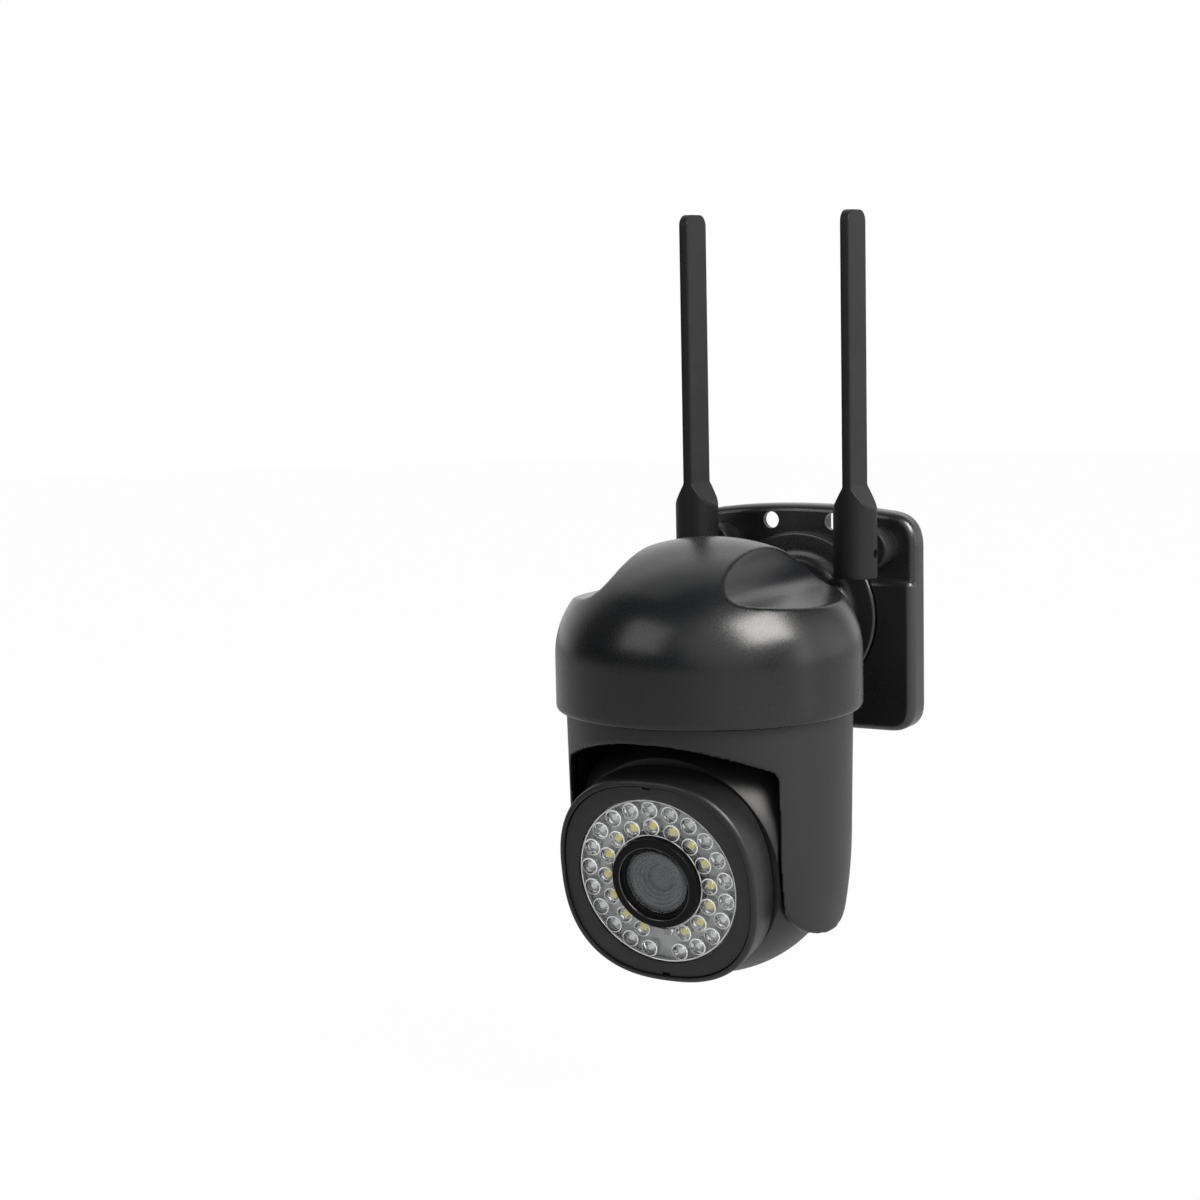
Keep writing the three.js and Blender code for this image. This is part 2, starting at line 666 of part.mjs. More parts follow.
const boardPostPlaces = [[-boardPostX, boardPostY], [boardPostX, boardPostY]];
const motorPostPlaces = [[-motorEarReach, -panCentres], [motorEarReach, -panCentres]];

function capBase() {
  const plate = disc(capRadius - capWall - gap, baseBottom, baseTop, capInnerSides);
  const posts = [
    ...boardPostPlaces.map(([x, y]) => (
      disc(boardPostRadius, baseTop - 0.5, boardHeight - gap, 10).translate(x, y, 0))),
    ...motorPostPlaces.map(([x, y]) => (
      disc(motorPostRadius, baseTop - 0.5, panMotorBottom - gap, 10).translate(x, y, 0))),
  ];
  const holes = [
    disc(panBushRadius + gap, 0, baseTop + 1, roundSides),
    toBack(disc(capPadRadius + gap, capPadReach - neckNutThickness - 2 * gap, capRadius, 20))
      .translate(0, 0, armAxisAboveRim),
    ...capPostPlaces.map(([x, y]) => disc(screwRadius + gap, 0, baseTop + 1, screwSides).translate(x, y, 0)),
  ];
  return cut(join(solid(plate), ...posts.map(solid)), ...holes.map(solid));
}

function panBush() {
  const bore = spindleRadius + gap;
  const low = deckTop + gap;
  return solid(turned([[bore, low], [panBushFlangeRadius, low], [panBushFlangeRadius, low + bushFlangeThickness],
    [panBushRadius, low + bushFlangeThickness], [panBushRadius, baseTop], [bore, baseTop]], roundSides));
}

function panMotor() {
  const ears = block(-motorEarReach - 3, motorEarReach + 3, -3.5, 3.5, panMotorBottom,
    panMotorBottom + motorEarThickness);
  const can = turned([[0, panMotorBottom], [motorRadius, panMotorBottom],
    [motorRadius, panMotorBottom + panMotorHeight - 0.8],
    [motorRadius - 0.8, panMotorBottom + panMotorHeight], [0, panMotorBottom + panMotorHeight]], 20);
  const shaft = disc(motorShaftRadius, panGearBottom + 0.4, panMotorBottom + 1, smallSides);
  return join(solid(ears), solid(can), solid(shaft));
}

function mainBoard() {
  const corner = boardCorner;
  const outline = pointsShape([[-boardHalfWidth, boardFront], [boardHalfWidth, boardFront],
    [boardHalfWidth, boardBack - corner], [boardHalfWidth - corner, boardBack],
    [corner - boardHalfWidth, boardBack], [-boardHalfWidth, boardBack - corner]]);
  const top = boardHeight + boardThickness;
  const [processor] = boardParts;
  const fins = [-1.5, -0.5, 0.5, 1.5].map((step) => {
    const x = step * heatFinSpacing;
    return block(x - heatFinThickness / 2, x + heatFinThickness / 2, boardBack + processor.front + 2,
      boardBack + processor.back - 2, top + processor.height / 2, top + heatFinHeight);
  });
  const parts = boardParts.map((part) => (
    block(part.left, part.right, boardBack + part.front, boardBack + part.back, top - 0.1, top + part.height)));
  const capacitor = disc(capacitorRadius, top - 0.1, top + capacitorHeight, smallSides)
    .translate(capacitorX, boardBack - capacitorInset, 0);
  return join(solid(prism(outline, boardHeight, top)), ...[...parts, ...fins, capacitor].map(solid));
}

function addCap() {
  add(capGroup, 'dome_cap', domeCap(), 'satinBlack');
  add(capGroup, 'cap_base', capBase(), 'matteBlack');
  capPostPlaces.forEach(([x, y], i) => {
    add(capGroup, `base_screw_${i + 1}`, solid(screw(baseThickness + gap + baseScrewGrip)), 'steel', x, y, baseBottom - gap);
  });
  add(capGroup, 'pan_bush', panBush(), 'nylon');
  add(capGroup, 'pan_motor', panMotor(), 'steel', 0, -panCentres, 0);
  const pinionHole = disc(motorShaftRadius + gap, 0, beyond, smallSides);
  const pinionShape = gearShape(panPinionTeeth, panModule, pinionTooth(panPinionTeeth, 90));
  const pinion = cut(solid(prism(pinionShape, panGearBottom, panGearTop)), solid(pinionHole));
  add(capGroup, 'pan_pinion', pinion, 'nylon', 0, -panCentres, 0);
  add(capGroup, 'main_board', mainBoard(), 'board');
}

// ---------------------------------------------------------------- fork
// The drum tapers to its waist near the tilt axis; below it the ears sweep gently inwards.
function drumProfile(inset) {
  const waist = -tiltDrop + drumWaistRise;
  const sweep = [0, 12, 23, 33].map((below) => (
    [drumWaist - inset - below ** 2 / (2 * earCurve), waist - below]));
  return [[drumRadius - inset, 0], ...sweep];
}

// Outline in YZ of what is left of the drum: all of it above, the ears' rounded tongues below.
function tongueShape(inset) {
  const wide = beyond;
  const shoulder = archShoulder + inset;
  const centre = -tiltDrop - earBottom + earRoundHeight;
  const [a, b] = [earHalfLength - inset, earRoundHeight - inset];
  const points = [[wide, shoulder], [wide, beyond], [-wide, beyond], [-wide, shoulder], [-a, shoulder]];
  const steps = 12;
  for (let i = 0; i <= steps; i += 1) {
    const angle = Math.PI + (Math.PI * i) / steps;
    const [c, s] = [Math.cos(angle), Math.sin(angle)];
    const radius = (Math.abs(c / a) ** earPower + Math.abs(s / b) ** earPower) ** (-1 / earPower);
    points.push([radius * c, centre + radius * s]);
  }
  points.push([a, shoulder]);
  return pointsShape(points);
}

function tongue(inset) {
  return solid(toSide(prism(tongueShape(inset), -beyond, beyond)));
}

// The space for the ball: open at the front, the back and underneath, with a shallow bow over it.
function archShape() {
  const corner = earInnerX - archCorner;
  const meeting = Math.atan2(archShoulder - archBowCentre, corner); // where the bow meets its corner
  const shape = new THREE.Shape();
  shape.moveTo(-earInnerX, -beyond);
  shape.lineTo(earInnerX, -beyond);
  shape.absarc(corner, archShoulder, archCorner, 0, meeting);
  shape.absarc(0, archBowCentre, archRadius, meeting, Math.PI - meeting);
  shape.absarc(-corner, archShoulder, archCorner, Math.PI - meeting, Math.PI);
  shape.closePath();
  return shape;
}

function forkShell() {
  const lowest = -tiltDrop - earBottom - 10;
  const outer = [[0, deckTop], [drumRadius - 0.6, deckTop], [drumRadius, deckTop - 0.6], ...drumProfile(0)];
  outer.push([outer[outer.length - 1][0], lowest], [0, lowest]);
  const inner = [[0, deckBottom], [drumRadius - drumWall, deckBottom], ...drumProfile(drumWall)];
  inner.push([inner[inner.length - 1][0], lowest - 1], [0, lowest - 1]);
  const cavity = solid(turned(inner, wideSides - 8)).intersect(tongue(drumWall));
  const arch = solid(toFront(prism(archShape(), -beyond, beyond)));
  const spindle = solid(disc(spindleRadius, deckTop - 1, spindleTop, roundSides));
  const bore = solid(disc(spindleBore, deckBottom - 1, beyond, 20));
  const shell = cut(solid(turned(outer, wideSides + 4)).intersect(tongue(0)), cavity, arch);
  return cut(join(shell, spindle), bore);
}

function earCover(side) {
  const inset = drumWall + gap;
  const lowest = -tiltDrop - earBottom - 10;
  const inner = [[0, deckBottom - gap], [drumRadius - inset, deckBottom - gap], ...drumProfile(inset)];
  inner.push([inner[inner.length - 1][0], lowest], [0, lowest]);
  const [near, far] = [earInnerX, earInnerX + earCoverThickness];
  const slab = block(Math.min(side * near, side * far), Math.max(side * near, side * far),
    -beyond, beyond, -beyond, beyond);
  const hole = toSide(disc(tiltShaftRadius + gap, -beyond, beyond, 16)).translate(0, 0, -tiltDrop);
  const cover = solid(turned(inner, wideSides - 8)).intersect(tongue(inset)).intersect(solid(slab));
  return cut(cover, solid(hole));
}

function addFork() {
  add(capGroup, 'fork_shell', forkShell(), 'satinBlack');
  const bore = disc(spindleRadius + gap, 0, beyond, roundSides);
  const gear = cut(solid(prism(gearShape(panGearTeeth, panModule, -90), panGearBottom, panGearTop)), solid(bore));
  add(capGroup, 'pan_gear', gear, 'nylon');
  const ringLow = panGearTop + gap;
  const ring = tube(spindleRadius + gap + spindleRingWidth, spindleRadius + gap, ringLow, ringLow + spindleRingThickness, 24);
  add(capGroup, 'spindle_ring', solid(ring), 'steel');
  add(capGroup, 'ear_cover_right', earCover(1), 'satinBlack');
  add(capGroup, 'ear_cover_left', earCover(-1), 'satinBlack');
}

// ---------------------------------------------------------------- tilt drive, in the head's group

function tiltShaft() {
  const gearEnd = tiltGearX + tiltGearThickness + gap;
  return solid(toSide(turned([[0, tiltGearX - 0.5], [tiltNeckRadius, tiltGearX - 0.5], [tiltNeckRadius, gearEnd],
    [tiltShaftRadius, gearEnd], [tiltShaftRadius, shaftHeadX], [tiltShaftHeadRadius, shaftHeadX],
    [tiltShaftHeadRadius, shaftHeadX + tiltShaftHeadThickness], [0, shaftHeadX + tiltShaftHeadThickness]], 12)));
}

function tiltBush() {
  return solid(toSide(turned([[tiltBushBore, ballFlatX - ballWall - 1.6], [tiltShaftRadius, ballFlatX - ballWall - 1.6],
    [tiltShaftRadius, shaftHeadX], [tiltShaftHeadRadius, shaftHeadX],
    [tiltShaftHeadRadius, shaftHeadX + tiltShaftHeadThickness],
    [tiltBushBore, shaftHeadX + tiltShaftHeadThickness]], 12)).scale(-1, 1, 1));
}

function tiltMotor() {
  const ears = block(tiltMotorFace - motorEarThickness, tiltMotorFace,
    -motorEarReach - 2.5, motorEarReach + 2.5, -3, 3);
  const can = toSide(disc(motorRadius, tiltMotorFace - tiltMotorLength, tiltMotorFace, 20));
  const shaft = toSide(disc(tiltPinionShaftRadius, tiltMotorFace - 1, tiltGearX + tiltGearThickness - 0.5, smallSides));
  return join(solid(ears), solid(can), solid(shaft));
}

function addTiltDrive(lensGroup) {
  add(lensGroup, 'tilt_shaft', tiltShaft(), 'steel');
  add(lensGroup, 'tilt_bush', tiltBush(), 'nylon');
  const [low, high] = [tiltGearX, tiltGearX + tiltGearThickness];
  const bore = disc(tiltNeckRadius + gap, 0, beyond, 16);
  // The pinion lies behind the gear, at local -Z; toSide turns the drawing's +Y to +Z.
  const gear = cut(solid(prism(gearShape(tiltGearTeeth, tiltModule, -90), low, high)), solid(bore));
  add(lensGroup, 'tilt_gear', toSideways(gear), 'nylon');
  const pinionShape = gearShape(tiltPinionTeeth, tiltModule, pinionTooth(tiltPinionTeeth, 90));
  const pinion = cut(solid(prism(pinionShape, low, high)), solid(disc(tiltPinionShaftRadius + gap, 0, beyond, smallSides)));
  add(lensGroup, 'tilt_pinion', toSideways(pinion), 'nylon', 0, 0, -tiltCentres);
  add(lensGroup, 'tilt_motor', tiltMotor(), 'steel', 0, 0, -tiltCentres);
}

// A finished solid turned as toSide turns a geometry.
function toSideways(body) {
  return solid(toSide(geometryOf(body)));
}

// ---------------------------------------------------------------- ball head, local +Z along the lens axis
const headScrewPlaces = [[1, 1], [-1, 1], [-1, -1], [1, -1]].map(([x, y]) => [x * headScrewX, y * headScrewX]);

function ballCurve(radius, front, steps) {
  const start = Math.acos(front / radius);
  const arc = Array.from({ length: steps + 1 }, (_, i) => {
    const angle = start + (Math.PI - start) * (i / steps);
    return [radius * Math.sin(angle), radius * Math.cos(angle)];
  });
  arc[steps][0] = 0;
  return [[0, front], ...arc];
}

function ballSolid(radius, front, flatX, sides) {
  const slab = block(-flatX, flatX, -radius - 1, radius + 1, -radius - 1, radius + 1);
  return solid(turned(ballCurve(radius, front, Math.round(sides / 4)), sides)).intersect(solid(slab));
}

function rearShell() {
  const outer = ballSolid(ballRadius, snoutJoint, ballFlatX, wideSides - 4);
  const inner = ballSolid(ballRadius - ballWall, snoutJoint - ballWall, ballFlatX - ballWall, roundSides);
  const posts = [-1, 1].map((up) => (
    toSide(disc(motorPostRadius, tiltMotorFace + gap, ballFlatX - 1, 10))
      .translate(0, up * motorEarReach, -tiltCentres)));
  const holes = [
    toSide(disc(tiltShaftRadius + gap, -ballRadius, ballRadius, 16)),
    disc(bulkheadOpening, 0, snoutJoint + 1, 24),
    ...headScrewPlaces.map(([x, y]) => disc(screwRadius + gap, 10, snoutJoint + 1, screwSides).translate(x, y, 0)),
  ];
  return join(cut(outer, inner, ...holes.map(solid)), ...posts.map(solid));
}

function frontShell() {
  const outer = cushion(superellipse(snoutHalfWidth, snoutHalfHeight, snoutPower), snoutBack, snoutFront, snoutEdge);
  const outline = (inset) => superellipse(snoutHalfWidth - inset, snoutHalfHeight - inset, snoutPower);
  const seat = prism(outline(bezelInset - gap), shelfFront, snoutFront + 1);
  const opening = prism(superellipse(shelfHalfWidth, shelfHalfWidth, snoutPower), 0, snoutFront + 1);
  const hollow = cut(solid(prism(outline(snoutWall), 0, shelfBack)), ...headScrewPlaces.map(([x, y]) => (
    solid(disc(headPostRadius, 0, shelfBack + 1, 10).translate(x, y, 0)))));
  const holes = headScrewPlaces.map(([x, y]) => (
    disc(screwRadius + gap, 0, shelfBack - 1, screwSides).translate(x, y, 0)));
  const posts = headScrewPlaces.map(([x, y]) => (
    disc(headPostRadius, snoutBack, shelfBack + 1, 10).translate(x, y, 0)));
  const openingClear = cut(solid(opening), ...posts.map(solid));
  return cut(outer, solid(seat), hollow, openingClear, ...holes.map(solid));
}

function headSeal() {
  const outline = (inset) => superellipse(snoutHalfWidth - inset, snoutHalfHeight - inset, snoutPower);
  const outer = prism(outline(1), sealBack, sealBack + headSealThickness);
  const inner = prism(outline(snoutWall), sealBack - 1, sealBack + headSealThickness + 1);
  return cut(solid(outer), solid(inner));
}

function bezel() {
  const outline = superellipse(snoutHalfWidth - bezelInset, snoutHalfHeight - bezelInset, snoutPower);
  const bore = lightPlateRadius + gap;
  const opening = turned([[0, bezelBack - 1], [bore, bezelBack - 1], [bore, bezelFace - 0.6],
    [bore + 1.6, bezelFace + 1], [0, bezelFace + 1]]);
  return cut(solid(prism(outline, bezelBack, bezelFace)), solid(opening));
}

// Places of the lights around a ring with a gap at the bottom.
function ringPlaces(count, radius, pitchDeg) {
  return Array.from({ length: count }, (_, i) => {
    const angle = degrees(90 + (i - (count - 1) / 2) * pitchDeg);
    return [radius * Math.cos(angle), radius * Math.sin(angle)];
  });
}

const innerLights = ringPlaces(innerRingCount, innerRingRadius, innerRingPitchDeg);
const lightPlaces = [...ringPlaces(outerRingCount, outerRingRadius, outerRingPitchDeg), ...innerLights];

function lightPlate() {
  const bore = hoodRadius + gap;
  const under = lightPlateFace - lightPlateThickness;
  const foot = hoodFlangeRadius + 0.7;
  const plate = turned([[bore, lightPlateFace], [bore, lightFlangeBack], [foot, lightFlangeBack], [foot, under],
    [lightPlateRadius - 0.8, under], [lightPlateRadius - 0.8, lightFlangeBack], [lightFlangeRadius, lightFlangeBack],
    [lightFlangeRadius, lightFlangeFront], [lightPlateRadius, lightFlangeFront], [lightPlateRadius, lightPlateFace]]);
  const dome = turned([[0, -0.3], [lightDomeRadius, -0.3], [lightDomeRadius * 0.6, lightDomeHeight],
    [0, lightDomeHeight]], lightDomeSides);
  const domes = lightPlaces.map(([x, y]) => solid(dome.clone().translate(x, y, lightPlateFace)));
  return join(solid(plate), ...domes);
}

function lightBoard() {
  const notches = headScrewPlaces.map(([x, y]) => (
    solid(disc(headPostRadius + gap, lightBoardBack - 1, shelfBack, smallSides).translate(x, y, 0))));
  const half = lightChipSize / 2;
  const chips = innerLights.map(([x, y]) => solid(
    block(-half, half, -half, half, lightBoardFront - 0.1, lightBoardFront + lightChipHeight).translate(x, y, 0)));
  const board = tube(lightBoardRadius, barrelRadius + 3, lightBoardBack, lightBoardFront);
  return join(cut(solid(board), ...notches), ...chips);
}

function lightSensor() {
  const low = lightBoardFront + gap;
  const high = low + lightChipHeight;
  return solid(turned([[0, low], [sensorWindowRadius, low], [sensorWindowRadius, high - 0.6],
    [sensorWindowRadius * 0.6, high], [0, high + 0.1]], smallSides));
}

function lensHood() {
  const mouth = glassRadius + gap;
  const ledge = barrelRadius + gap;
  return solid(turned([[ledge, hoodBack], [hoodFlangeRadius, hoodBack], [hoodFlangeRadius, hoodFlangeFront],
    [hoodRadius, hoodFlangeFront], [hoodRadius, hoodFace - 0.6], [hoodRadius - 0.6, hoodFace],
    [hoodRadius - 1.8, hoodFace], [mouth, glassFace + 0.4], [mouth, glassBack - gap], [ledge, glassBack - gap]], 28));
}

function lensBarrel() {
  const front = glassBack - gap;
  return solid(turned([[0, barrelBack], [barrelRearRadius, barrelBack], [barrelRearRadius, barrelBack + 9],
    [barrelRadius - 1, barrelBack + 11], [barrelRadius - 1, barrelBack + 15], [barrelRadius, barrelBack + 16],
    [barrelRadius, front], [barrelRadius - 1.6, front], [barrelRadius - 3.4, front - 1.6], [0, front - 0.9]], 18));
}

function imageBoard() {
  const half = imageBoardSize / 2;
  const front = barrelBack - gap;
  const back = front - imageBoardThickness;
  const socket = block(-6, 6, -half + 2, -half + 6, back - 2.5, back + 0.1);
  const regulator = block(4, 8, 6, 10, back - 1.2, back + 0.1);
  return join(solid(block(-half, half, -half, half, back, front)), solid(socket), solid(regulator));
}

function addHead() {
  const lensGroup = group(headGroup, 0, 0, 0, Math.PI / 2); // local +Z along the lens axis, +Y up
  add(lensGroup, 'head_rear_shell', rearShell(), 'satinBlack');
  add(lensGroup, 'head_front_shell', frontShell(), 'satinBlack');
  add(lensGroup, 'head_seal', headSeal(), 'rubber');
  headScrewPlaces.forEach(([x, y], i) => {
    const under = snoutJoint - ballWall - gap;
    add(lensGroup, `head_screw_${i + 1}`, solid(screw(shelfBack - 2 - under)), 'steel', x, y, under);
  });
  add(lensGroup, 'bezel', bezel(), 'matteBlack');
  add(lensGroup, 'light_plate', lightPlate(), 'clearPlastic');
  add(lensGroup, 'light_board', lightBoard(), 'paleBoard');
  add(lensGroup, 'light_sensor', lightSensor(), 'sensor', 0, -innerRingRadius, 0);
  add(lensGroup, 'lens_hood', lensHood(), 'matteBlack');
  const crown = [[0, glassBack], [glassRadius, glassBack], [glassRadius, glassFace - 0.5],
    [glassRadius * 0.6, glassFace - 0.1], [0, glassFace]];
  add(lensGroup, 'lens_glass', solid(turned(crown, roundSides)), 'glass');
  add(lensGroup, 'lens_barrel', lensBarrel(), 'barrelMetal');
  add(lensGroup, 'image_board', imageBoard(), 'board');
  addTiltDrive(lensGroup);
}

// ---------------------------------------------------------------- antennas
// Half section of the flat blade and the flare that runs out on the round foot, in XZ.
function bladeShape() {
  const half = bladeThickness / 2;
  const wide = antennaRadius + 1;
  const rise = antennaFlareHigh - antennaFlareLow;
  const flare = [0, 1, 2, 3, 4].map((i) => {
    const t = i / 4;
    return [antennaRadius - (antennaRadius - half) * t ** 0.8, antennaFlareLow + rise * t];
  });
  const right = [[wide, -antennaFoot - 1], [wide, antennaFlareLow], ...flare, [half, antennaTop + 1]];
  const left = right.map(([x, z]) => [-x, z]).reverse();
  return pointsShape([...right, ...left]);
}

// Side outline in YZ: rounded tip, and a foot whose back turns about the fold pin.
function antennaSideShape() {
  const half = antennaRadius + 0.01;
  const shape = new THREE.Shape();
  shape.moveTo(-half, -antennaFoot + 0.7);
  shape.lineTo(-half + 0.7, -antennaFoot);
  shape.lineTo(0, -antennaFoot);
  shape.absarc(0, 0, antennaFoot, -Math.PI / 2, -Math.acos(half / antennaFoot), false);
  shape.lineTo(half, antennaTop - bladeTipRadius);
  shape.absarc(half - bladeTipRadius, antennaTop - bladeTipRadius, bladeTipRadius, 0, Math.PI / 2, false);
  shape.absarc(bladeTipRadius - half, antennaTop - bladeTipRadius, bladeTipRadius, Math.PI / 2, Math.PI, false);
  shape.lineTo(-half, -antennaFoot + 0.7);
  return shape;
}

function antenna() {
  const round = solid(disc(antennaRadius, -antennaFoot - 1, antennaTop + 1, 24));
  const blade = solid(toFront(prism(bladeShape(), -20, 20)));
  const side = solid(toSide(prism(antennaSideShape(), -20, 20, 4)));
  const reach = tongueRadius + gap;
  const half = tongueThickness / 2 + gap;
  const slotShape = new THREE.Shape();
  slotShape.moveTo(-reach, -30);
  slotShape.lineTo(30, -30);
  slotShape.lineTo(30, reach);
  slotShape.lineTo(0, reach);
  slotShape.absarc(0, 0, reach, Math.PI / 2, Math.PI, false);
  const slot = solid(toSide(prism(slotShape, -half, half, 5)));
  const pinHole = solid(toSide(disc(foldPinRadius + gap, -20, 20, smallSides)));
  return cut(round.intersect(blade).intersect(side), slot, pinHole);
}

// The stub turns in the plate's boss: disc, shaft behind it, and the tongue that holds the fold pin.
function antennaStub() {
  const front = antennaOut - stubDiscFront;
  const back = front - stubDiscThickness;
  const shaftEnd = cavityFloor - gap - clipThickness - 0.8;
  const body = turned([[0, shaftEnd], [stubShaftRadius, shaftEnd], [stubShaftRadius, back],
    [stubDiscRadius, back], [stubDiscRadius, front - 0.7], [stubDiscRadius - 0.7, front], [0, front]], 16);
  const shape = new THREE.Shape();
  shape.moveTo(-tongueRadius, front - 1);
  shape.lineTo(tongueRadius, front - 1);
  shape.absarc(0, antennaOut, tongueRadius, 0, Math.PI, false);
  const tongueBody = toSide(prism(shape, -tongueThickness / 2, tongueThickness / 2, 5));
  const pinHole = toSide(disc(foldPinRadius + gap, -20, 20, smallSides)).translate(0, 0, antennaOut);
  return cut(join(solid(body), solid(tongueBody)), solid(pinHole));
}

function addAntenna(side, name) {
  const plateGroup = group(camera, side * antennaX, 0, antennaHeight, Math.PI / 2);
  add(plateGroup, `antenna_stub_${name}`, antennaStub(), 'antennaBlack');
  const clipBack = cavityFloor - gap - clipThickness;
  const clip = tube(clipRadius, stubShaftRadius + gap, clipBack, clipBack + clipThickness, 12);
  add(plateGroup, `stub_clip_${name}`, solid(clip), 'steel');
  const antennaGroup = group(camera, side * antennaX, -antennaOut, antennaHeight);
  add(antennaGroup, `antenna_${name}`, antenna(), 'antennaBlack');
  const pinHalf = antennaRadius - foldPinInset;
  add(antennaGroup, `fold_pin_${name}`, solid(toSide(disc(foldPinRadius, -pinHalf, pinHalf, smallSides))), 'steel');
}

addBracket();
addCap();
addFork();
addHead();
addAntenna(1, 'right');
addAntenna(-1, 'left');

export default camera;
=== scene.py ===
"""Finished look of a pan-and-tilt security camera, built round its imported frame.

Pieces are drawn in millimetres in a frame of their own and then placed, in metres, where the CAD says:
plate_frame on the wall, cap_frame at the cap's rim, lens_frame along the lens axis and one for each antenna.
"""
import json
import math

import bpy
from mathutils import Matrix, Vector


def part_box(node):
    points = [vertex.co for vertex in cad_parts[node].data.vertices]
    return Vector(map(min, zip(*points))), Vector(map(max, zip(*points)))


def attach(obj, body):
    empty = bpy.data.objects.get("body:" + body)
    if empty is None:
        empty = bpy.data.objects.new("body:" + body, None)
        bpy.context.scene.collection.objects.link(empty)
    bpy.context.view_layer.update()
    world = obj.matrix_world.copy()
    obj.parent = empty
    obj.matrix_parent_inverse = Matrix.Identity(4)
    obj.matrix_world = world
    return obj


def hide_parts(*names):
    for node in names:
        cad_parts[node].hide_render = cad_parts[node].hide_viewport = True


bl_info = {
    "name": "Pan and tilt security camera",
    "version": (1, 0, 0),
    "blender": (4, 5, 0),
    "location": "View3D > Sidebar > Camera Parts",
    "description": "Builds the finished pieces of a domed pan-and-tilt camera with two antennas",
    "category": "Object",
}

MM = 0.001
GAP = 0.3  # millimetres between fitted pieces
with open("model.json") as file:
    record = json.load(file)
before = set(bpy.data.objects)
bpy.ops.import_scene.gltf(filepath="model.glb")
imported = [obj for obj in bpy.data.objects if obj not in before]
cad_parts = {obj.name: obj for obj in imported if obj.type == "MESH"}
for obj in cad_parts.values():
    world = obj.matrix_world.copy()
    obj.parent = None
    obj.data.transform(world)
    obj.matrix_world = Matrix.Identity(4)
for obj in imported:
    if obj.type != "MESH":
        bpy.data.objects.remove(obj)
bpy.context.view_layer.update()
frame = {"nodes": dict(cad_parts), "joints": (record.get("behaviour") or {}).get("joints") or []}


def joint_place(name):
    """A joint's pivot in millimetres."""
    found = next(joint for joint in frame["joints"] if joint["name"] == name)
    return Vector(found["pos_m"]) / MM


def node_box(name):
    """A node's lowest and highest corner in millimetres."""
    low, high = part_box(name)
    return low / MM, high / MM


# ---------------- places from the frame
PAN = joint_place("pan")
TILT = joint_place("tilt")
FOLD = joint_place("right_antenna_fold")
CAP_LOW, CAP_HIGH = node_box("dome_cap")
FORK_HIGH = node_box("fork_shell")[1]
PLATE_HIGH = node_box("wall_plate")[1]
ARM_LOW = node_box("bracket_arm")[0]
ANTENNA_LOW, ANTENNA_HIGH = node_box("antenna_right")
BALL_LOW, BALL_HIGH = node_box("head_rear_shell")
SNOUT_HIGH = node_box("head_front_shell")[1]
COVER_LOW = node_box("ear_cover_right")[0]

plate_frame = Matrix.Rotation(math.radians(90), 4, "X")
cap_frame = Matrix.Translation((PAN.x, PAN.y, CAP_LOW.z))


# ---------------- sizes, colours and lights a user would change
def length(name, description, millimetres):
    return bpy.props.FloatProperty(
        name=name, description=description, default=millimetres * MM, min=0.0,
        subtype="DISTANCE", unit="LENGTH",
    )


def colour(name, description, value):
    return bpy.props.FloatVectorProperty(
        name=name, description=description, default=value, size=3, min=0.0, max=1.0, subtype="COLOR"
    )


def share(name, description, value):
    return bpy.props.FloatProperty(
        name=name, description=description, default=value, min=0.0, max=1.0, subtype="FACTOR"
    )


def whole(name, description, value):
    return bpy.props.IntProperty(name=name, description=description, default=value, min=1)


def brightness(name, description, value):
    return bpy.props.FloatProperty(name=name, description=description, default=value, min=0)


def watts(name, description, value):
    return bpy.props.FloatProperty(name=name, description=description, default=value, min=0, unit="POWER")


class CapSizes(bpy.types.PropertyGroup):
    """Sizes of the domed cap."""

    radius: length("Radius", "Outside of the skirt", CAP_HIGH.x)
    skirt: length("Skirt", "Height of the upright skirt", 18)
    wall: length("Wall", "Thickness of the shell", 2.5)
    rim_bevel: length("Rim bevel", "Round on the skirt's lower edge", 1.3)
    channel_wall: length("Channel wall", "Inner wall of a channel, from the middle", 19.0)
    channel_floor: length("Channel floor", "Floor of a channel under its antenna, above the rim", 37.4)
    channel_fillet: length("Channel fillet", "Round between a channel's wall and floor", 11)
    channel_fall: share("Channel fall", "Fall of the floor outwards", 0.154)
    boss_radius: length("Boss radius", "Boss that the arm meets", 19)
    boss_reach: length("Boss reach", "Pan axis to the boss's face", 54)
    voxel: length("Voxel", "Fineness of the fused skin", 0.62)


class ForkSizes(bpy.types.PropertyGroup):
    """Sizes of the fork that hangs under the cap."""

    radius: length("Radius", "Outside of the drum's top", FORK_HIGH.x)
    waist: length("Waist", "Outside of the drum near the tilt axis", FORK_HIGH.x - 0.7)
    sweep: length("Sweep", "Radius of the ears' inward curve", 170)
    wall: length("Wall", "Thickness of the shell", 2.2)
    deck_low: length("Deck underside", "Above the cap's rim", 2.6)
    deck_high: length("Deck top", "Above the cap's rim", 5.0)
    spindle: length("Spindle", "Radius of the hollow spindle", 12)
    spindle_bore: length("Spindle bore", "Radius of the cable way", 8.5)
    arch_half: length("Arch half width", "Middle to the ears' inner faces", COVER_LOW.x)
    arch_top: length("Arch top", "Below the cap's rim", 5.3)
    arch_bow: length("Arch bow", "Radius of the arch's top", 76)
    arch_corner: length("Arch corner", "Radius of the arch's corners", 3)
    ear_bottom: length("Ear bottom", "Below the tilt axis", 27.5)
    ear_half: length("Ear half length", "Middle to the ears' front edges", 28.5)
    ear_round: length("Ear round", "Height of the ears' rounded ends", 24)
    voxel: length("Voxel", "Fineness of the fused skin", 0.75)


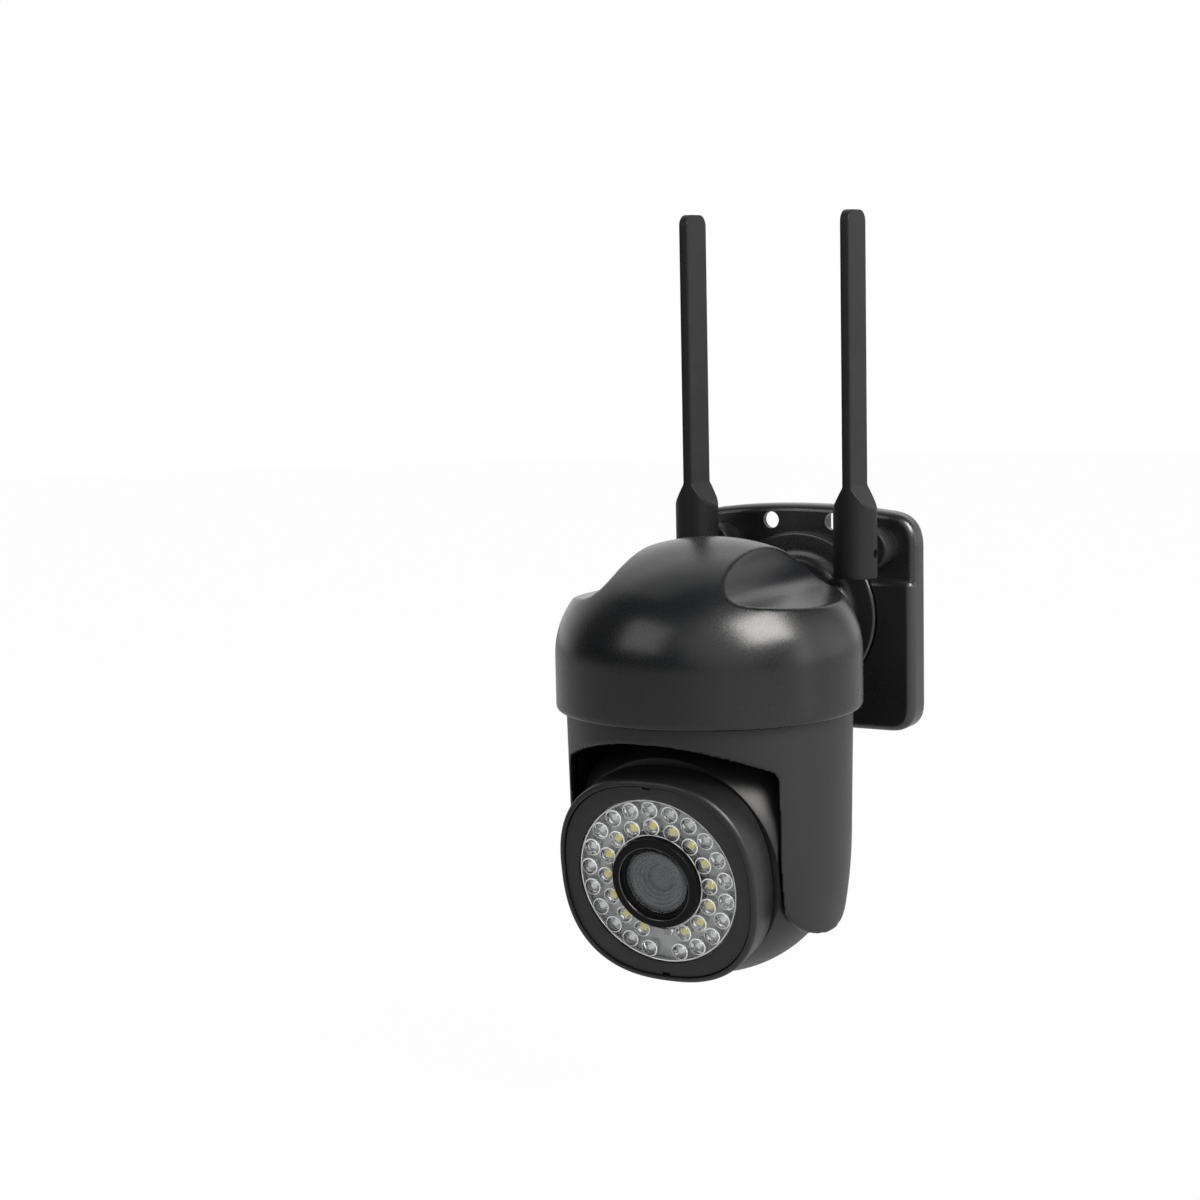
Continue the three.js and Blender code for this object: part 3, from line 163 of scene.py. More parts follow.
class HeadSizes(bpy.types.PropertyGroup):
    """Sizes of the ball head, its lamps and its lens."""

    rest_tilt: bpy.props.FloatProperty(
        name="Rest tilt", description="Lens below level at rest", default=math.radians(10.2), subtype="ANGLE"
    )
    ball_radius: length("Ball radius", "Outside of the ball", TILT.z - BALL_LOW.z)
    ball_flat: length("Ball flat", "Middle to the ball's flat sides", BALL_HIGH.x)
    ball_wall: length("Ball wall", "Thickness of the shell", 2.4)
    joint_reach: length("Joint", "Ball's front face", 26)
    snout_half: length("Snout half width", "Middle to the snout's side", SNOUT_HIGH.x)
    snout_high: length("Snout half height", "Middle to the snout's top", 34.3)
    snout_back: length("Snout back", "Snout's rear face", 27.5)
    snout_front: length("Snout front", "Snout's front face", 40.6)
    snout_edge: length("Snout edge", "Round of the front edge", 1.6)
    bezel_inset: length("Bezel inset", "Bezel's edge inside the snout's", 2.2)
    bezel_face: length("Bezel face", "Bezel's front face", 40)
    plate_radius: length("Lamp plate radius", "Clear plate over the lamps", 27.6)
    plate_face: length("Lamp plate face", "Front of the clear plate", 39.2)
    dome_radius: length("Dome radius", "Clear dome over a lamp", 2.55)
    dome_height: length("Dome height", "Clear dome over a lamp", 1.5)
    pocket_radius: length("Pocket radius", "Hollow under a clear dome", 2.1)
    outer_ring: length("Outer ring", "Radius of the outer ring of lamps", 24.2)
    inner_ring: length("Inner ring", "Radius of the inner ring of lamps", 18.4)
    outer_count: whole("Outer lamps", "Lamps in the outer ring", 21)
    inner_count: whole("Inner lamps", "Lamps in the inner ring", 15)
    board_face: length("Lamp board face", "Front of the lamp board", 33.7)
    hood_radius: length("Hood radius", "Outside of the lens hood", 15)
    hood_face: length("Hood face", "Front of the lens hood", 41.8)
    lip_radius: length("Lip radius", "Hood's polished lip round the glass", 12.2)
    glass_radius: length("Glass radius", "Front element", 10.9)
    glass_face: length("Glass face", "Crown of the front element", 40.4)
    barrel_radius: length("Barrel radius", "Lens barrel behind the glass", 8.8)


class BracketSizes(bpy.types.PropertyGroup):
    """Sizes of the wall plate and the arm."""

    half_width: length("Half width", "Middle to the plate's side", PLATE_HIGH.x)
    half_height: length("Half height", "Middle to the plate's top", PLATE_HIGH.z)
    arch_rise: length("Arch rise", "How far the top edge bows up", 2.4)
    upper_out: length("Upper face", "Wall to the upper face", 9.7)
    lower_out: length("Lower face", "Wall to the lower panel", 12.7)
    step_height: length("Step", "Top of the lower panel, above the middle", 15)
    wall: length("Wall", "Thickness of the plate's walls", 2.4)
    drop: length("Drop", "Middle to the plate's bottom", 38)
    top_corner: length("Top corner", "Round of the upper corners", 11.5)
    low_corner: length("Low corner", "Round of the lower corners", 9)
    edge: length("Edge", "Round of the front edges", 2.8)
    hole_radius: length("Wall hole", "Radius of a wall screw's hole", 2.95)
    hole_x: length("Hole spacing across", "Between wall screws", 23.5)
    hole_z: length("Hole spacing up", "Between wall screws", 68.2)
    arm_height: length("Arm height", "Arm's axis above the plate's middle", 1.8)
    flange_radius: length("Flange radius", "Arm's flange", 28.9)
    arm_radius: length("Arm radius", "Arm at the cap", 18.2)
    root_radius: length("Root radius", "Arm at its flange", 23)


class AntennaSizes(bpy.types.PropertyGroup):
    """Sizes of a folding antenna."""

    radius: length("Foot radius", "Round foot of an antenna", (ANTENNA_HIGH.x - ANTENNA_LOW.x) / 2)
    blade: length("Blade thickness", "Flat blade above the foot", 3.3)
    flare_low: length("Flare start", "Foot starts to narrow, above the pin", 15)
    flare_high: length("Flare end", "Blade starts, above the pin", 22.5)
    top: length("Top", "Tip above the pin", ANTENNA_HIGH.z - FOLD.z)
    foot: length("Foot", "Foot below the pin", FOLD.z - ANTENNA_LOW.z)
    tip_radius: length("Tip radius", "Corners of the blade's tip", 4.2)
    slot: length("Slot", "Width of the slot for the stub", 5.0)
    voxel: length("Voxel", "Fineness of the fused skin", 0.36)


class Finishes(bpy.types.PropertyGroup):
    """Colours and gloss of the mouldings."""

    cap: colour("Cap", "Satin moulding of the cap", (0.0046, 0.0050, 0.0058))
    fork: colour("Fork", "Semi-matte moulding of the fork and ball", (0.0056, 0.0057, 0.0060))
    bracket: colour("Bracket", "Glossy moulding of the bracket", (0.0060, 0.0061, 0.0066))
    antenna: colour("Antenna", "Grained moulding of the antennas", (0.0054, 0.0056, 0.0061))
    bezel: colour("Bezel", "Matte ring round the lamps", (0.0060, 0.0060, 0.0062))
    hood: colour("Hood", "Ring round the front glass", (0.0018, 0.0018, 0.0019))
    board: colour("Lamp board", "Pale face of the lamp board", (0.72, 0.72, 0.73))
    phosphor: colour("Phosphor", "Warm lamps' yellow chips", (0.90, 0.84, 0.30))
    cap_gloss: share("Cap roughness", "Roughness of the cap", 0.27)
    fork_gloss: share("Fork roughness", "Roughness of the fork and ball", 0.44)
    bracket_gloss: share("Bracket roughness", "Roughness of the bracket", 0.30)
    antenna_gloss: share("Antenna roughness", "Roughness of the antennas", 0.50)


class StageSizes(bpy.types.PropertyGroup):
    """Level of the floor, the lights and the surround."""

    floor_drop: length("Floor drop", "Floor below the wall plate's middle", 160)
    front_level: share("Front level", "Brightness of the surround behind the camera", 0.06)
    right_level: brightness("Right level", "Brightness of the surround at the right", 1.0)
    back_level: share("Back level", "Brightness of the surround behind the object", 1.0)
    key_power: watts("Key", "Soft light at the right", 28)
    fill_power: watts("Fill", "Soft light at the left", 3.6)
    side_power: watts("Side", "Strip at the right", 1)
    top_power: watts("Top", "Soft light overhead", 2.5)


GROUPS = {
    "camera_cap": CapSizes,
    "camera_fork": ForkSizes,
    "camera_head": HeadSizes,
    "camera_bracket": BracketSizes,
    "camera_antenna": AntennaSizes,
    "camera_finish": Finishes,
    "camera_stage": StageSizes,
}


class Sizes:
    """A property group read with its lengths in millimetres and its other values as they are."""

    def __init__(self, group):
        self.group = group

    def __getattr__(self, name):
        value = getattr(self.group, name)
        is_length = self.group.bl_rna.properties[name].subtype == "DISTANCE"
        return value / MM if is_length else value


def sizes(name):
    return Sizes(getattr(bpy.context.scene, name))


def lens_frame():
    """Local z runs along the lens axis from the tilt axis, and local y points up."""
    down = bpy.context.scene.camera_head.rest_tilt
    return Matrix.Translation(TILT) @ Matrix.Rotation(down + math.radians(90), 4, "X")


def antenna_frame(side):
    return Matrix.Translation((side * FOLD.x, FOLD.y, FOLD.z))


# ---------------- modelling by hand, step by step
TOUCHING = 0.001  # millimetres between points that are one


def object_mode():
    if bpy.context.object and bpy.context.object.mode != "OBJECT":
        bpy.ops.object.mode_set(mode="OBJECT")


def only(piece):
    """Selects this piece alone and makes it the active one."""
    object_mode()
    bpy.ops.object.select_all(action="DESELECT")
    piece.hide_set(False)
    piece.select_set(True)
    bpy.context.view_layer.objects.active = piece
    return piece


def edit_all(piece):
    only(piece)
    bpy.ops.object.mode_set(mode="EDIT")
    bpy.ops.mesh.select_all(action="SELECT")


def named(name):
    piece = bpy.context.object
    piece.name = name
    piece.data.name = name
    return piece


def new_piece():
    """Leaves nothing selected, for a new primitive to start from."""
    object_mode()
    bpy.ops.object.select_all(action="DESELECT")


def trace(name, points, closed=False):
    """A line drawn by pulling one point from place to place; closed makes it a face."""
    new_piece()
    points = [Vector(p) for p in points]
    bpy.ops.mesh.primitive_plane_add(size=1)
    piece = named(name)
    bpy.ops.object.mode_set(mode="EDIT")
    bpy.ops.mesh.merge(type="CENTER")
    bpy.ops.transform.translate(value=points[0])
    for here, there in zip(points, points[1:]):
        bpy.ops.mesh.extrude_region_move(TRANSFORM_OT_translate={"value": there - here})
    if closed:
        bpy.ops.mesh.select_all(action="SELECT")
        bpy.ops.mesh.edge_face_add()
    bpy.ops.object.mode_set(mode="OBJECT")
    return piece


def turned(name, profile, steps=96):
    """A profile of (radius, height) points spun once round z."""
    piece = trace(name, [(radius, 0, height) for radius, height in profile])
    edit_all(piece)
    bpy.ops.mesh.spin(steps=steps, angle=math.tau, center=(0, 0, 0), axis=(0, 0, 1))
    bpy.ops.mesh.select_all(action="SELECT")
    bpy.ops.mesh.remove_doubles(threshold=TOUCHING)
    bpy.ops.mesh.normals_make_consistent(inside=False)
    bpy.ops.object.mode_set(mode="OBJECT")
    return piece


def raised(name, outline, low, high):
    """An outline of (x, y) points as a face at z = low, pulled up to high."""
    piece = trace(name, [(x, y, low) for x, y in outline], closed=True)
    edit_all(piece)
    bpy.ops.mesh.extrude_region_move(TRANSFORM_OT_translate={"value": (0, 0, high - low)})
    bpy.ops.mesh.select_all(action="SELECT")
    bpy.ops.mesh.normals_make_consistent(inside=False)
    bpy.ops.object.mode_set(mode="OBJECT")
    return piece


def box(name, low, high):
    low, high = Vector(low), Vector(high)
    new_piece()
    bpy.ops.mesh.primitive_cube_add(size=1, location=(low + high) / 2)
    piece = named(name)
    piece.scale = high - low
    bpy.ops.object.transform_apply(location=True, rotation=True, scale=True)
    return piece


def rod(name, radius, low, high, steps=64):
    return turned(name, [(0, low), (radius, low), (radius, high), (0, high)], steps)


def turn(piece, matrix):
    """Moves a piece by a matrix and keeps its place in its mesh."""
    only(piece)
    piece.matrix_world = matrix @ piece.matrix_world
    bpy.ops.object.transform_apply(location=True, rotation=True, scale=True)
    return piece


def at(piece, x, y, z=0):
    return turn(piece, Matrix.Translation((x, y, z)))


# Shapes are drawn in xy and pulled along z; these turn z to another axis.
TO_FRONT = Matrix.Rotation(math.radians(90), 4, "X")
TO_BACK = Matrix.Rotation(math.radians(-90), 4, "X")
TO_SIDE = Matrix.Rotation(math.radians(90), 4, "Y") @ Matrix.Rotation(math.radians(90), 4, "Z")


def modified(piece, kind, **settings):
    """Adds a modifier of this kind and applies it."""
    only(piece)
    modifier = piece.modifiers.new(kind.title(), kind)
    for key, value in settings.items():
        setattr(modifier, key, value)
    bpy.ops.object.modifier_apply(modifier=modifier.name)
    return piece


def combined(piece, operation, *others):
    """Combines a piece with others, which are used up."""
    for other in others:
        modified(piece, "BOOLEAN", operation=operation, object=other, solver="EXACT")
        bpy.data.objects.remove(other)
    return piece


def cut(piece, *others):
    return combined(piece, "DIFFERENCE", *others)


def join(piece, *others):
    return combined(piece, "UNION", *others)


def common(piece, *others):
    return combined(piece, "INTERSECT", *others)


def fused(piece, voxel, passes):
    """One even skin over all the cuts, with its edges eased."""
    modified(piece, "REMESH", mode="VOXEL", voxel_size=voxel)
    return modified(piece, "SMOOTH", factor=0.5, iterations=passes)


def eased(piece, width, segments=2, degrees=30):
    """Rounds the edges sharper than so many degrees."""
    return modified(
        piece, "BEVEL", width=width, segments=segments,
        limit_method="ANGLE", angle_limit=math.radians(degrees),
    )


def copied(piece, name):
    only(piece)
    bpy.ops.object.duplicate()
    return named(name)


def finished(piece, where, body, finish, stands_for=(), angle=35):
    """Places a piece in metres, gives it its shading, finish and body, and hides the parts it stands for."""
    turn(piece, Matrix.Scale(MM, 4) @ where)
    bpy.ops.object.shade_smooth_by_angle(angle=math.radians(angle))
    piece.data.materials.clear()
    piece.data.materials.append(finishes[finish])
    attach(piece, body)
    if stands_for:
        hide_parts(*stands_for)
    return piece


def on_head(piece, finish, stands_for=(), angle=40):
    """Finishes a piece that is drawn along the lens axis and tilts with the head."""
    return finished(piece, lens_frame(), "head", finish, stands_for, angle)


def superellipse(half_width, half_height, power, count=120):
    """An oval that squares up as its power rises above 2."""
    points = []
    for step in range(count):
        angle = math.tau * step / count
        c, s = math.cos(angle), math.sin(angle)
        reach = (abs(c / half_width) ** power + abs(s / half_height) ** power) ** (-1 / power)
        points.append((reach * c, reach * s))
    return points


def arc(centre, radius, start, stop, steps):
    """Points on an arc, in degrees from the first axis."""
    angles = [math.radians(start + (stop - start) * i / steps) for i in range(steps + 1)]
    return [(centre[0] + radius * math.cos(a), centre[1] + radius * math.sin(a)) for a in angles]


def ring_places(count, radius, pitch):
    """Places round a ring with its gap at the bottom."""
    angles = [math.radians(90 + (i - (count - 1) / 2) * pitch) for i in range(count)]
    return [(radius * math.cos(a), radius * math.sin(a)) for a in angles]


# ---------------- finishes
def new_material(name):
    material = bpy.data.materials.new(name)
    material.use_nodes = True
    return material, material.node_tree.nodes["Principled BSDF"]


def node(material, kind, **inputs):
    """Adds a shader node and sets its inputs by name."""
    made = material.node_tree.nodes.new(kind)
    for key, value in inputs.items():
        made.inputs[key.replace("_", " ")].default_value = value
    return made


def wire(material, source, target):
    material.node_tree.links.new(source, target)


def object_place(material, scale=(1, 1, 1)):
    """The Object coordinates through a Mapping node."""
    place = node(material, "ShaderNodeTexCoord")
    mapping = node(material, "ShaderNodeMapping", Scale=scale)
    wire(material, place.outputs["Object"], mapping.inputs["Vector"])
    return mapping.outputs["Vector"]


def noise(material, vector, scale, detail=2.0, rough=0.5):
    made = node(material, "ShaderNodeTexNoise", Scale=scale, Detail=detail, Roughness=rough)
    wire(material, vector, made.inputs["Vector"])
    return made.outputs["Fac"]


def ranged(material, value, low, high, start=0.3, stop=0.7):
    made = node(material, "ShaderNodeMapRange", From_Min=start, From_Max=stop, To_Min=low, To_Max=high)
    wire(material, value, made.inputs["Value"])
    return made.outputs["Result"]


def blended(material, factor, first, second):
    """Two colours mixed by a factor."""
    made = material.node_tree.nodes.new("ShaderNodeMix")
    made.data_type = "RGBA"
    made.inputs["A"].default_value = (*first, 1)
    made.inputs["B"].default_value = (*second, 1)
    wire(material, factor, made.inputs["Factor"])
    return made.outputs["Result"]


def coloured(material, shader, pattern, first, second):
    """Base colour that wanders from the first to the second with a pattern."""
    between = blended(material, ranged(material, pattern, 0, 1), first, second)
    wire(material, between, shader.inputs["Base Color"])


def roughened(material, shader, pattern, low, high):
    """Roughness that wanders from low to high with a pattern."""
    wire(material, ranged(material, pattern, low, high), shader.inputs["Roughness"])


def toned(colour_of, share_of):
    return tuple(c * share_of for c in colour_of)


def bumped(material, shader, height, depth, strength=1.0, after=None):
    """A bump of this depth in metres, after an earlier one if it has one."""
    made = node(material, "ShaderNodeBump", Strength=strength, Distance=depth)
    wire(material, height, made.inputs["Height"])
    if after:
        wire(material, after.outputs["Normal"], made.inputs["Normal"])
    wire(material, made.outputs["Normal"], shader.inputs["Normal"])
    return made


def moulded_plastic(name, tint, gloss, grain, depth, ior=1.49):
    """Injection-moulded plastic: fine mould grain, faint flow in the gloss and a trace of uneven colour."""
    flow_scale, flow_share, grain_share = 34, 0.12, 0.03
    wave_scale, wave_depth, wave_strength = 9, 0.0002, 0.1
    material, shader = new_material(name)
    vector = object_place(material)
    flow = noise(material, vector, flow_scale, 3)
    coloured(material, shader, flow, tuple(tint), toned(tint, 1.22))
    fine = noise(material, vector, grain, 2, 0.6)
    rough = node(material, "ShaderNodeMath")
    rough.operation = "ADD"
    flowing = ranged(material, flow, gloss * (1 - flow_share), gloss * (1 + flow_share))
    wire(material, flowing, rough.inputs[0])
    wire(material, ranged(material, fine, -grain_share, grain_share), rough.inputs[1])
    wire(material, rough.outputs["Value"], shader.inputs["Roughness"])
    waves = bumped(material, shader, noise(material, vector, wave_scale, 1), wave_depth, wave_strength)
    bumped(material, shader, fine, depth, 1.0, waves)
    shader.inputs["IOR"].default_value = ior
    return material


def mottled(name, tones, mottle_scale, detail, gloss, depth, grain_scale=0):
    """One cloudy pattern in the colour, the gloss and the surface, or with a finer grain in the surface."""
    material, shader = new_material(name)
    vector = object_place(material)
    mottle = noise(material, vector, mottle_scale, detail)
    coloured(material, shader, mottle, *tones)
    roughened(material, shader, mottle, *gloss)
    bumped(material, shader, noise(material, vector, grain_scale) if grain_scale else mottle, depth)
    return material


def gear_nylon():
    tones = (0.72, 0.71, 0.66), (0.80, 0.79, 0.75)
    material = mottled("gear_nylon", tones, 180, 3, (0.38, 0.5), 0.00003, 1500)
    shader = material.node_tree.nodes["Principled BSDF"]
    shader.inputs["Subsurface Weight"].default_value = 0.1
    shader.inputs["Subsurface Scale"].default_value = 0.002
    return material


def seal_rubber():
    return mottled("seal_rubber", ((0.008,) * 3, (0.016,) * 3), 420, 4, (0.6, 0.78), 0.00005)


def lamp_board(tone):
    """Pale solder mask."""
    return mottled("lamp_board", (toned(tone, 0.9), tuple(tone)), 260, 4, (0.42, 0.6), 0.00004)


def lamp_part(name, tone, gloss):
    """A small bright part of a lamp: its holder, its chip, or a pale ring that is a painted highlight on an
    edge.
    """
    tones = toned(tone, 0.88), tuple(tone)
    return mottled(name, tones, 900, 3, (gloss * 0.85, gloss * 1.15), 0.00002)


def drawn_steel(name, tone, low, high, streak):
    """Steel with fine streaks along one axis."""
    material, shader = new_material(name)
    streaks = noise(material, object_place(material, streak), 60, 4)
    coloured(material, shader, streaks, toned(tone, 0.82), tone)
    roughened(material, shader, streaks, low, high)
    bumped(material, shader, streaks, 0.00002)
    shader.inputs["Metallic"].default_value = 1.0
    return material


def circuit_board():
    """Green mask over copper tracks, with pads."""
    material, shader = new_material("circuit_board")
    vector = object_place(material)
    tracks = node(material, "ShaderNodeTexBrick", Scale=420, Mortar_Size=0.03, Row_Height=0.3)
    tracks.inputs["Color1"].default_value = (0.006, 0.055, 0.022, 1)
    tracks.inputs["Color2"].default_value = (0.008, 0.070, 0.028, 1)
    tracks.inputs["Mortar"].default_value = (0.03, 0.14, 0.06, 1)
    wire(material, vector, tracks.inputs["Vector"])
    wire(material, tracks.outputs["Color"], shader.inputs["Base Color"])
    roughened(material, shader, noise(material, vector, 300), 0.28, 0.42)
    bumped(material, shader, tracks.outputs["Fac"], 0.00004)
    return material


def mixed(material, factor, first, second):
    """One shader or the other by a factor, as the material's surface."""
    mix = node(material, "ShaderNodeMixShader")
    wire(material, factor, mix.inputs["Fac"])
    wire(material, first, mix.inputs[1])
    wire(material, second, mix.inputs[2])
    wire(material, mix.outputs["Shader"], material.node_tree.nodes["Material Output"].inputs["Surface"])


def clear(name, tint, gloss, ior, ripple):
    """Clear plastic or glass that lets the lamps' light straight through to what lies behind."""
    material, shader = new_material(name)
    vector = object_place(material)
    haze = noise(material, vector, 120, 3)
    coloured(material, shader, haze, tint, tuple(min(1, c * 1.03) for c in tint))
    roughened(material, shader, haze, gloss * 0.7, gloss * 1.3)
    bumped(material, shader, noise(material, vector, 200, 1), ripple)
    shader.inputs["Transmission Weight"].default_value = 1.0
    shader.inputs["IOR"].default_value = ior
    rays = node(material, "ShaderNodeLightPath")
    through = node(material, "ShaderNodeBsdfTransparent")
    through.inputs["Color"].default_value = (*toned(tint, 0.9), 1)
    either = node(material, "ShaderNodeMath")
    either.operation = "MAXIMUM"
    wire(material, rays.outputs["Is Shadow Ray"], either.inputs[0])
    wire(material, rays.outputs["Is Diffuse Ray"], either.inputs[1])
    mixed(material, either.outputs["Value"], shader.outputs["BSDF"], through.outputs["BSDF"])
    return material


def make_finishes():
    """Every finish of the camera by name, made once; the mould grain is given by its scale and its depth."""
    look = bpy.context.scene.camera_finish
    return {
        "cap": moulded_plastic("satin_cap", look.cap, look.cap_gloss, 1300, 0.000008),
        "fork": moulded_plastic("matte_fork", look.fork, look.fork_gloss, 1500, 0.000014),
        "bracket": moulded_plastic("glossy_bracket", look.bracket, look.bracket_gloss, 1100, 0.000012, 1.65),
        "antenna": moulded_plastic("grained_antenna", look.antenna, look.antenna_gloss, 1400, 0.00005, 1.34),
        "bezel": moulded_plastic("matte_bezel", look.bezel, 0.52, 1600, 0.00003),
        "hood": moulded_plastic("lens_hood", look.hood, 0.5, 1400, 0.00001, 1.24),
        "lip": moulded_plastic("polished_lip", look.hood, 0.12, 1400, 0.000002, 1.9),
        "inner": moulded_plastic("inner_plastic", look.fork, 0.55, 1400, 0.00003),
        "nylon": gear_nylon(),
        "rubber": seal_rubber(),
        "steel": drawn_steel("plated_steel", (0.62, 0.62, 0.60), 0.22, 0.38, (1, 1, 9)),
        "motor": drawn_steel("motor_steel", (0.56, 0.57, 0.58), 0.28, 0.46, (1, 1, 14)),
        "barrel": moulded_plastic("lens_barrel", (0.018, 0.019, 0.020), 0.3, 1800, 0.000003),
        "circuit": circuit_board(),
        "board": lamp_board(look.board),
        "seat": lamp_part("lamp_holder", (0.55, 0.55, 0.56), 0.35),
        # rim: pale rings that are painted highlights along the domes' and the window's edges
        "rim": lamp_part("lamp_rim", (0.88, 0.89, 0.90), 0.3),
        "chip": lamp_part("lamp_chip", (0.90, 0.91, 0.92), 0.3),
        "phosphor": lamp_part("warm_chip", look.phosphor, 0.4),
        "clear": clear("clear_plate", (0.97, 0.98, 0.98), 0.05, 1.49, 0.000004),
        "glass": clear("front_glass", (0.80, 0.83, 0.86), 0.03, 1.52, 0.0000002),
        "sensor": clear("sensor_window", (0.78, 0.78, 0.74), 0.10, 1.49, 0.000004),
    }


finishes = {}  # filled by the first operator


# ---------------- wall plate, arm and seal
def curve_through(start, corner, stop, steps):
    """Points of a bend from start to stop that leans to its corner."""
    points = []
    for i in range(steps + 1):
        t = i / steps
        points.append(tuple(
            (1 - t) ** 2 * a + 2 * t * (1 - t) * b + t * t * c for a, b, c in zip(start, corner, stop)
        ))
    return points


def plate_outline(s, inset):
    side, bottom, crown = s.half_width - inset, inset - s.drop, s.half_height - inset
    shoulder = crown - s.arch_rise
    low, high = s.low_corner - inset, s.top_corner - inset
    lift = shoulder + s.arch_rise * 0.25
    right = curve_through((side - low, bottom), (side, bottom), (side, bottom + low), 8)
    right += curve_through((side, shoulder - high), (side, shoulder), (side - high, lift), 10)
    right += curve_through((side - high, lift), (side * 0.4, crown), (0, crown), 12)[1:]
    return right + [(-x, y) for x, y in reversed(right[:-1])]


def panel_outline(s, inset):
    side, bottom, top = s.half_width - inset, inset - s.drop, s.step_height - inset
    low = s.low_corner - inset
    right = curve_through((side - low, bottom), (side, bottom), (side, bottom + low), 8)
    right.append((side, top))
    return right + [(-x, y) for x, y in reversed(right)]


def build_wall_plate():
    """The plate's upper face and thicker lower panel, with two bosses, four screw holes and a ribbed back."""
    s = sizes("camera_bracket")
    boss_radius, bore_radius, boss_face = 6.4, 3.8, -FOLD.y - 15.9
    cable_radius, cable_height = 3.2, -6.2
    cross_half, rib_half, rib_places = 2.2, 1, (-6, 6)
    behind = -2
    floor = s.upper_out - s.wall
    plate = eased(raised("plate_moulding", plate_outline(s, 0), 0, s.upper_out), s.edge, 5, 60)
    panel = eased(raised("panel", panel_outline(s, 0), 0, s.lower_out), s.edge, 5, 60)
    join(plate, panel)
    recess = rod("recess", s.flange_radius + 0.6, s.upper_out, s.lower_out + 1, 96)
    cut(plate, at(recess, 0, s.arm_height))
    for side in (-1, 1):
        boss = eased(rod("boss", boss_radius, floor, boss_face), 0.8, 3)
        join(plate, at(boss, side * FOLD.x, FOLD.z))
    inner = raised("inner", plate_outline(s, s.wall), -1, floor)
    deeper = raised("deeper", panel_outline(s, s.wall), -1.5, s.lower_out - s.wall)
    seat = rod("seat", s.flange_radius + s.wall, behind, s.lower_out, 64)
    cut(deeper, at(seat, 0, s.arm_height))
    join(inner, deeper)
    cut(inner, box("rib", (-s.half_width, -cross_half, behind), (s.half_width, cross_half, floor + 1)))
    for x in rib_places:
        rib = box("rib", (x - rib_half, -s.half_height, behind), (x + rib_half, s.half_height, floor + 1))
        cut(inner, rib)
    cut(plate, inner)
    for side in (-1, 1):
        for up in (-1, 1):
            hole = rod("hole", s.hole_radius, -1, s.lower_out + 2, 40)
            cut(plate, at(hole, side * s.hole_x / 2, up * s.hole_z / 2))
        cut(plate, at(rod("bore", bore_radius, -1, boss_face + 1, 40), side * FOLD.x, FOLD.z))
    cut(plate, at(rod("cable_hole", cable_radius, -1, s.lower_out, 40), 0, cable_height))
    finished(plate, plate_frame, "bracket", "bracket", ["wall_plate"], 40)
    modified(plate, "WEIGHTED_NORMAL", keep_sharp=True)


def build_bracket_arm():
    """The arm steps down from its flange to a spigot that the seal slips over."""
    s = sizes("camera_bracket")
    back, front, end = s.upper_out + GAP, s.upper_out + 3.7, -ARM_LOW.y
    seat, spigot, cable_way, hollow = 27.4, 8, 5.5, 11
    flange_round, seat_round = 1.2, 0.5
    fillet = s.root_radius - s.arm_radius
    profile = [(hollow, back), (s.flange_radius, back)]
    profile += arc((s.flange_radius - flange_round, front - flange_round), flange_round, 0, 90, 5)
    profile += [(s.root_radius - fillet * math.sin(a), front + fillet * (1 - math.cos(a)))
                for a in [math.radians(9 * i) for i in range(11)]]
    profile += arc((s.arm_radius - seat_round, seat - seat_round), seat_round, 0, 90, 3)
    profile += [(spigot, seat), (spigot, end), (cable_way, end), (cable_way, front + 6), (hollow, front + 2),
                (hollow, back)]
    arm = turned("arm_moulding", profile, 112)
    place = plate_frame @ Matrix.Translation((0, s.arm_height, 0))
    finished(arm, place, "bracket", "bracket", ["bracket_arm"])
    bore, low, high = 8.3, 27.7, 29.2
    wide, chamfered = 18.2, 17.9
    profile = [(bore, low), (chamfered, low), (wide, 28.0), (wide, 28.9), (chamfered, high), (bore, high),
               (bore, low)]
    seal = turned("arm_gasket", profile, 96)
    finished(seal, place, "bracket", "rubber", ["arm_seal"])


# ---------------- cap
def dome_points(s, inset, steps):
    """From the skirt's top to the crown."""
    height = CAP_HIGH.z - CAP_LOW.z - s.skirt - inset
    points = [((s.radius - inset) * math.cos(a), s.skirt + height * math.sin(a))
              for a in [math.pi / 2 * i / steps for i in range(steps + 1)]]
    points[-1] = (0, points[-1][1])
    return points


def channel(s, side, grow):
    """The groove that an antenna folds down into, right through the cap."""
    wall = s.channel_wall - grow

    def floor(x):
        return s.channel_floor - grow - s.channel_fall * (x - FOLD.x)

    far, above, along = s.radius * 1.6, 120, 90
    bend = curve_through((wall, floor(wall) + s.channel_fillet), (wall, floor(wall)),
                         (wall + s.channel_fillet, floor(wall + s.channel_fillet)), 12)
    points = [(wall, above), *bend, (far, floor(far)), (far, above)]
    piece = raised("channel", [(side * x, z) for x, z in points], -along, along)
    return turn(piece, TO_FRONT)


def backward(piece, height):
    """Turns a piece drawn along z to run back from the pan axis at this height."""
    return turn(piece, Matrix.Translation((0, 0, height)) @ TO_BACK)


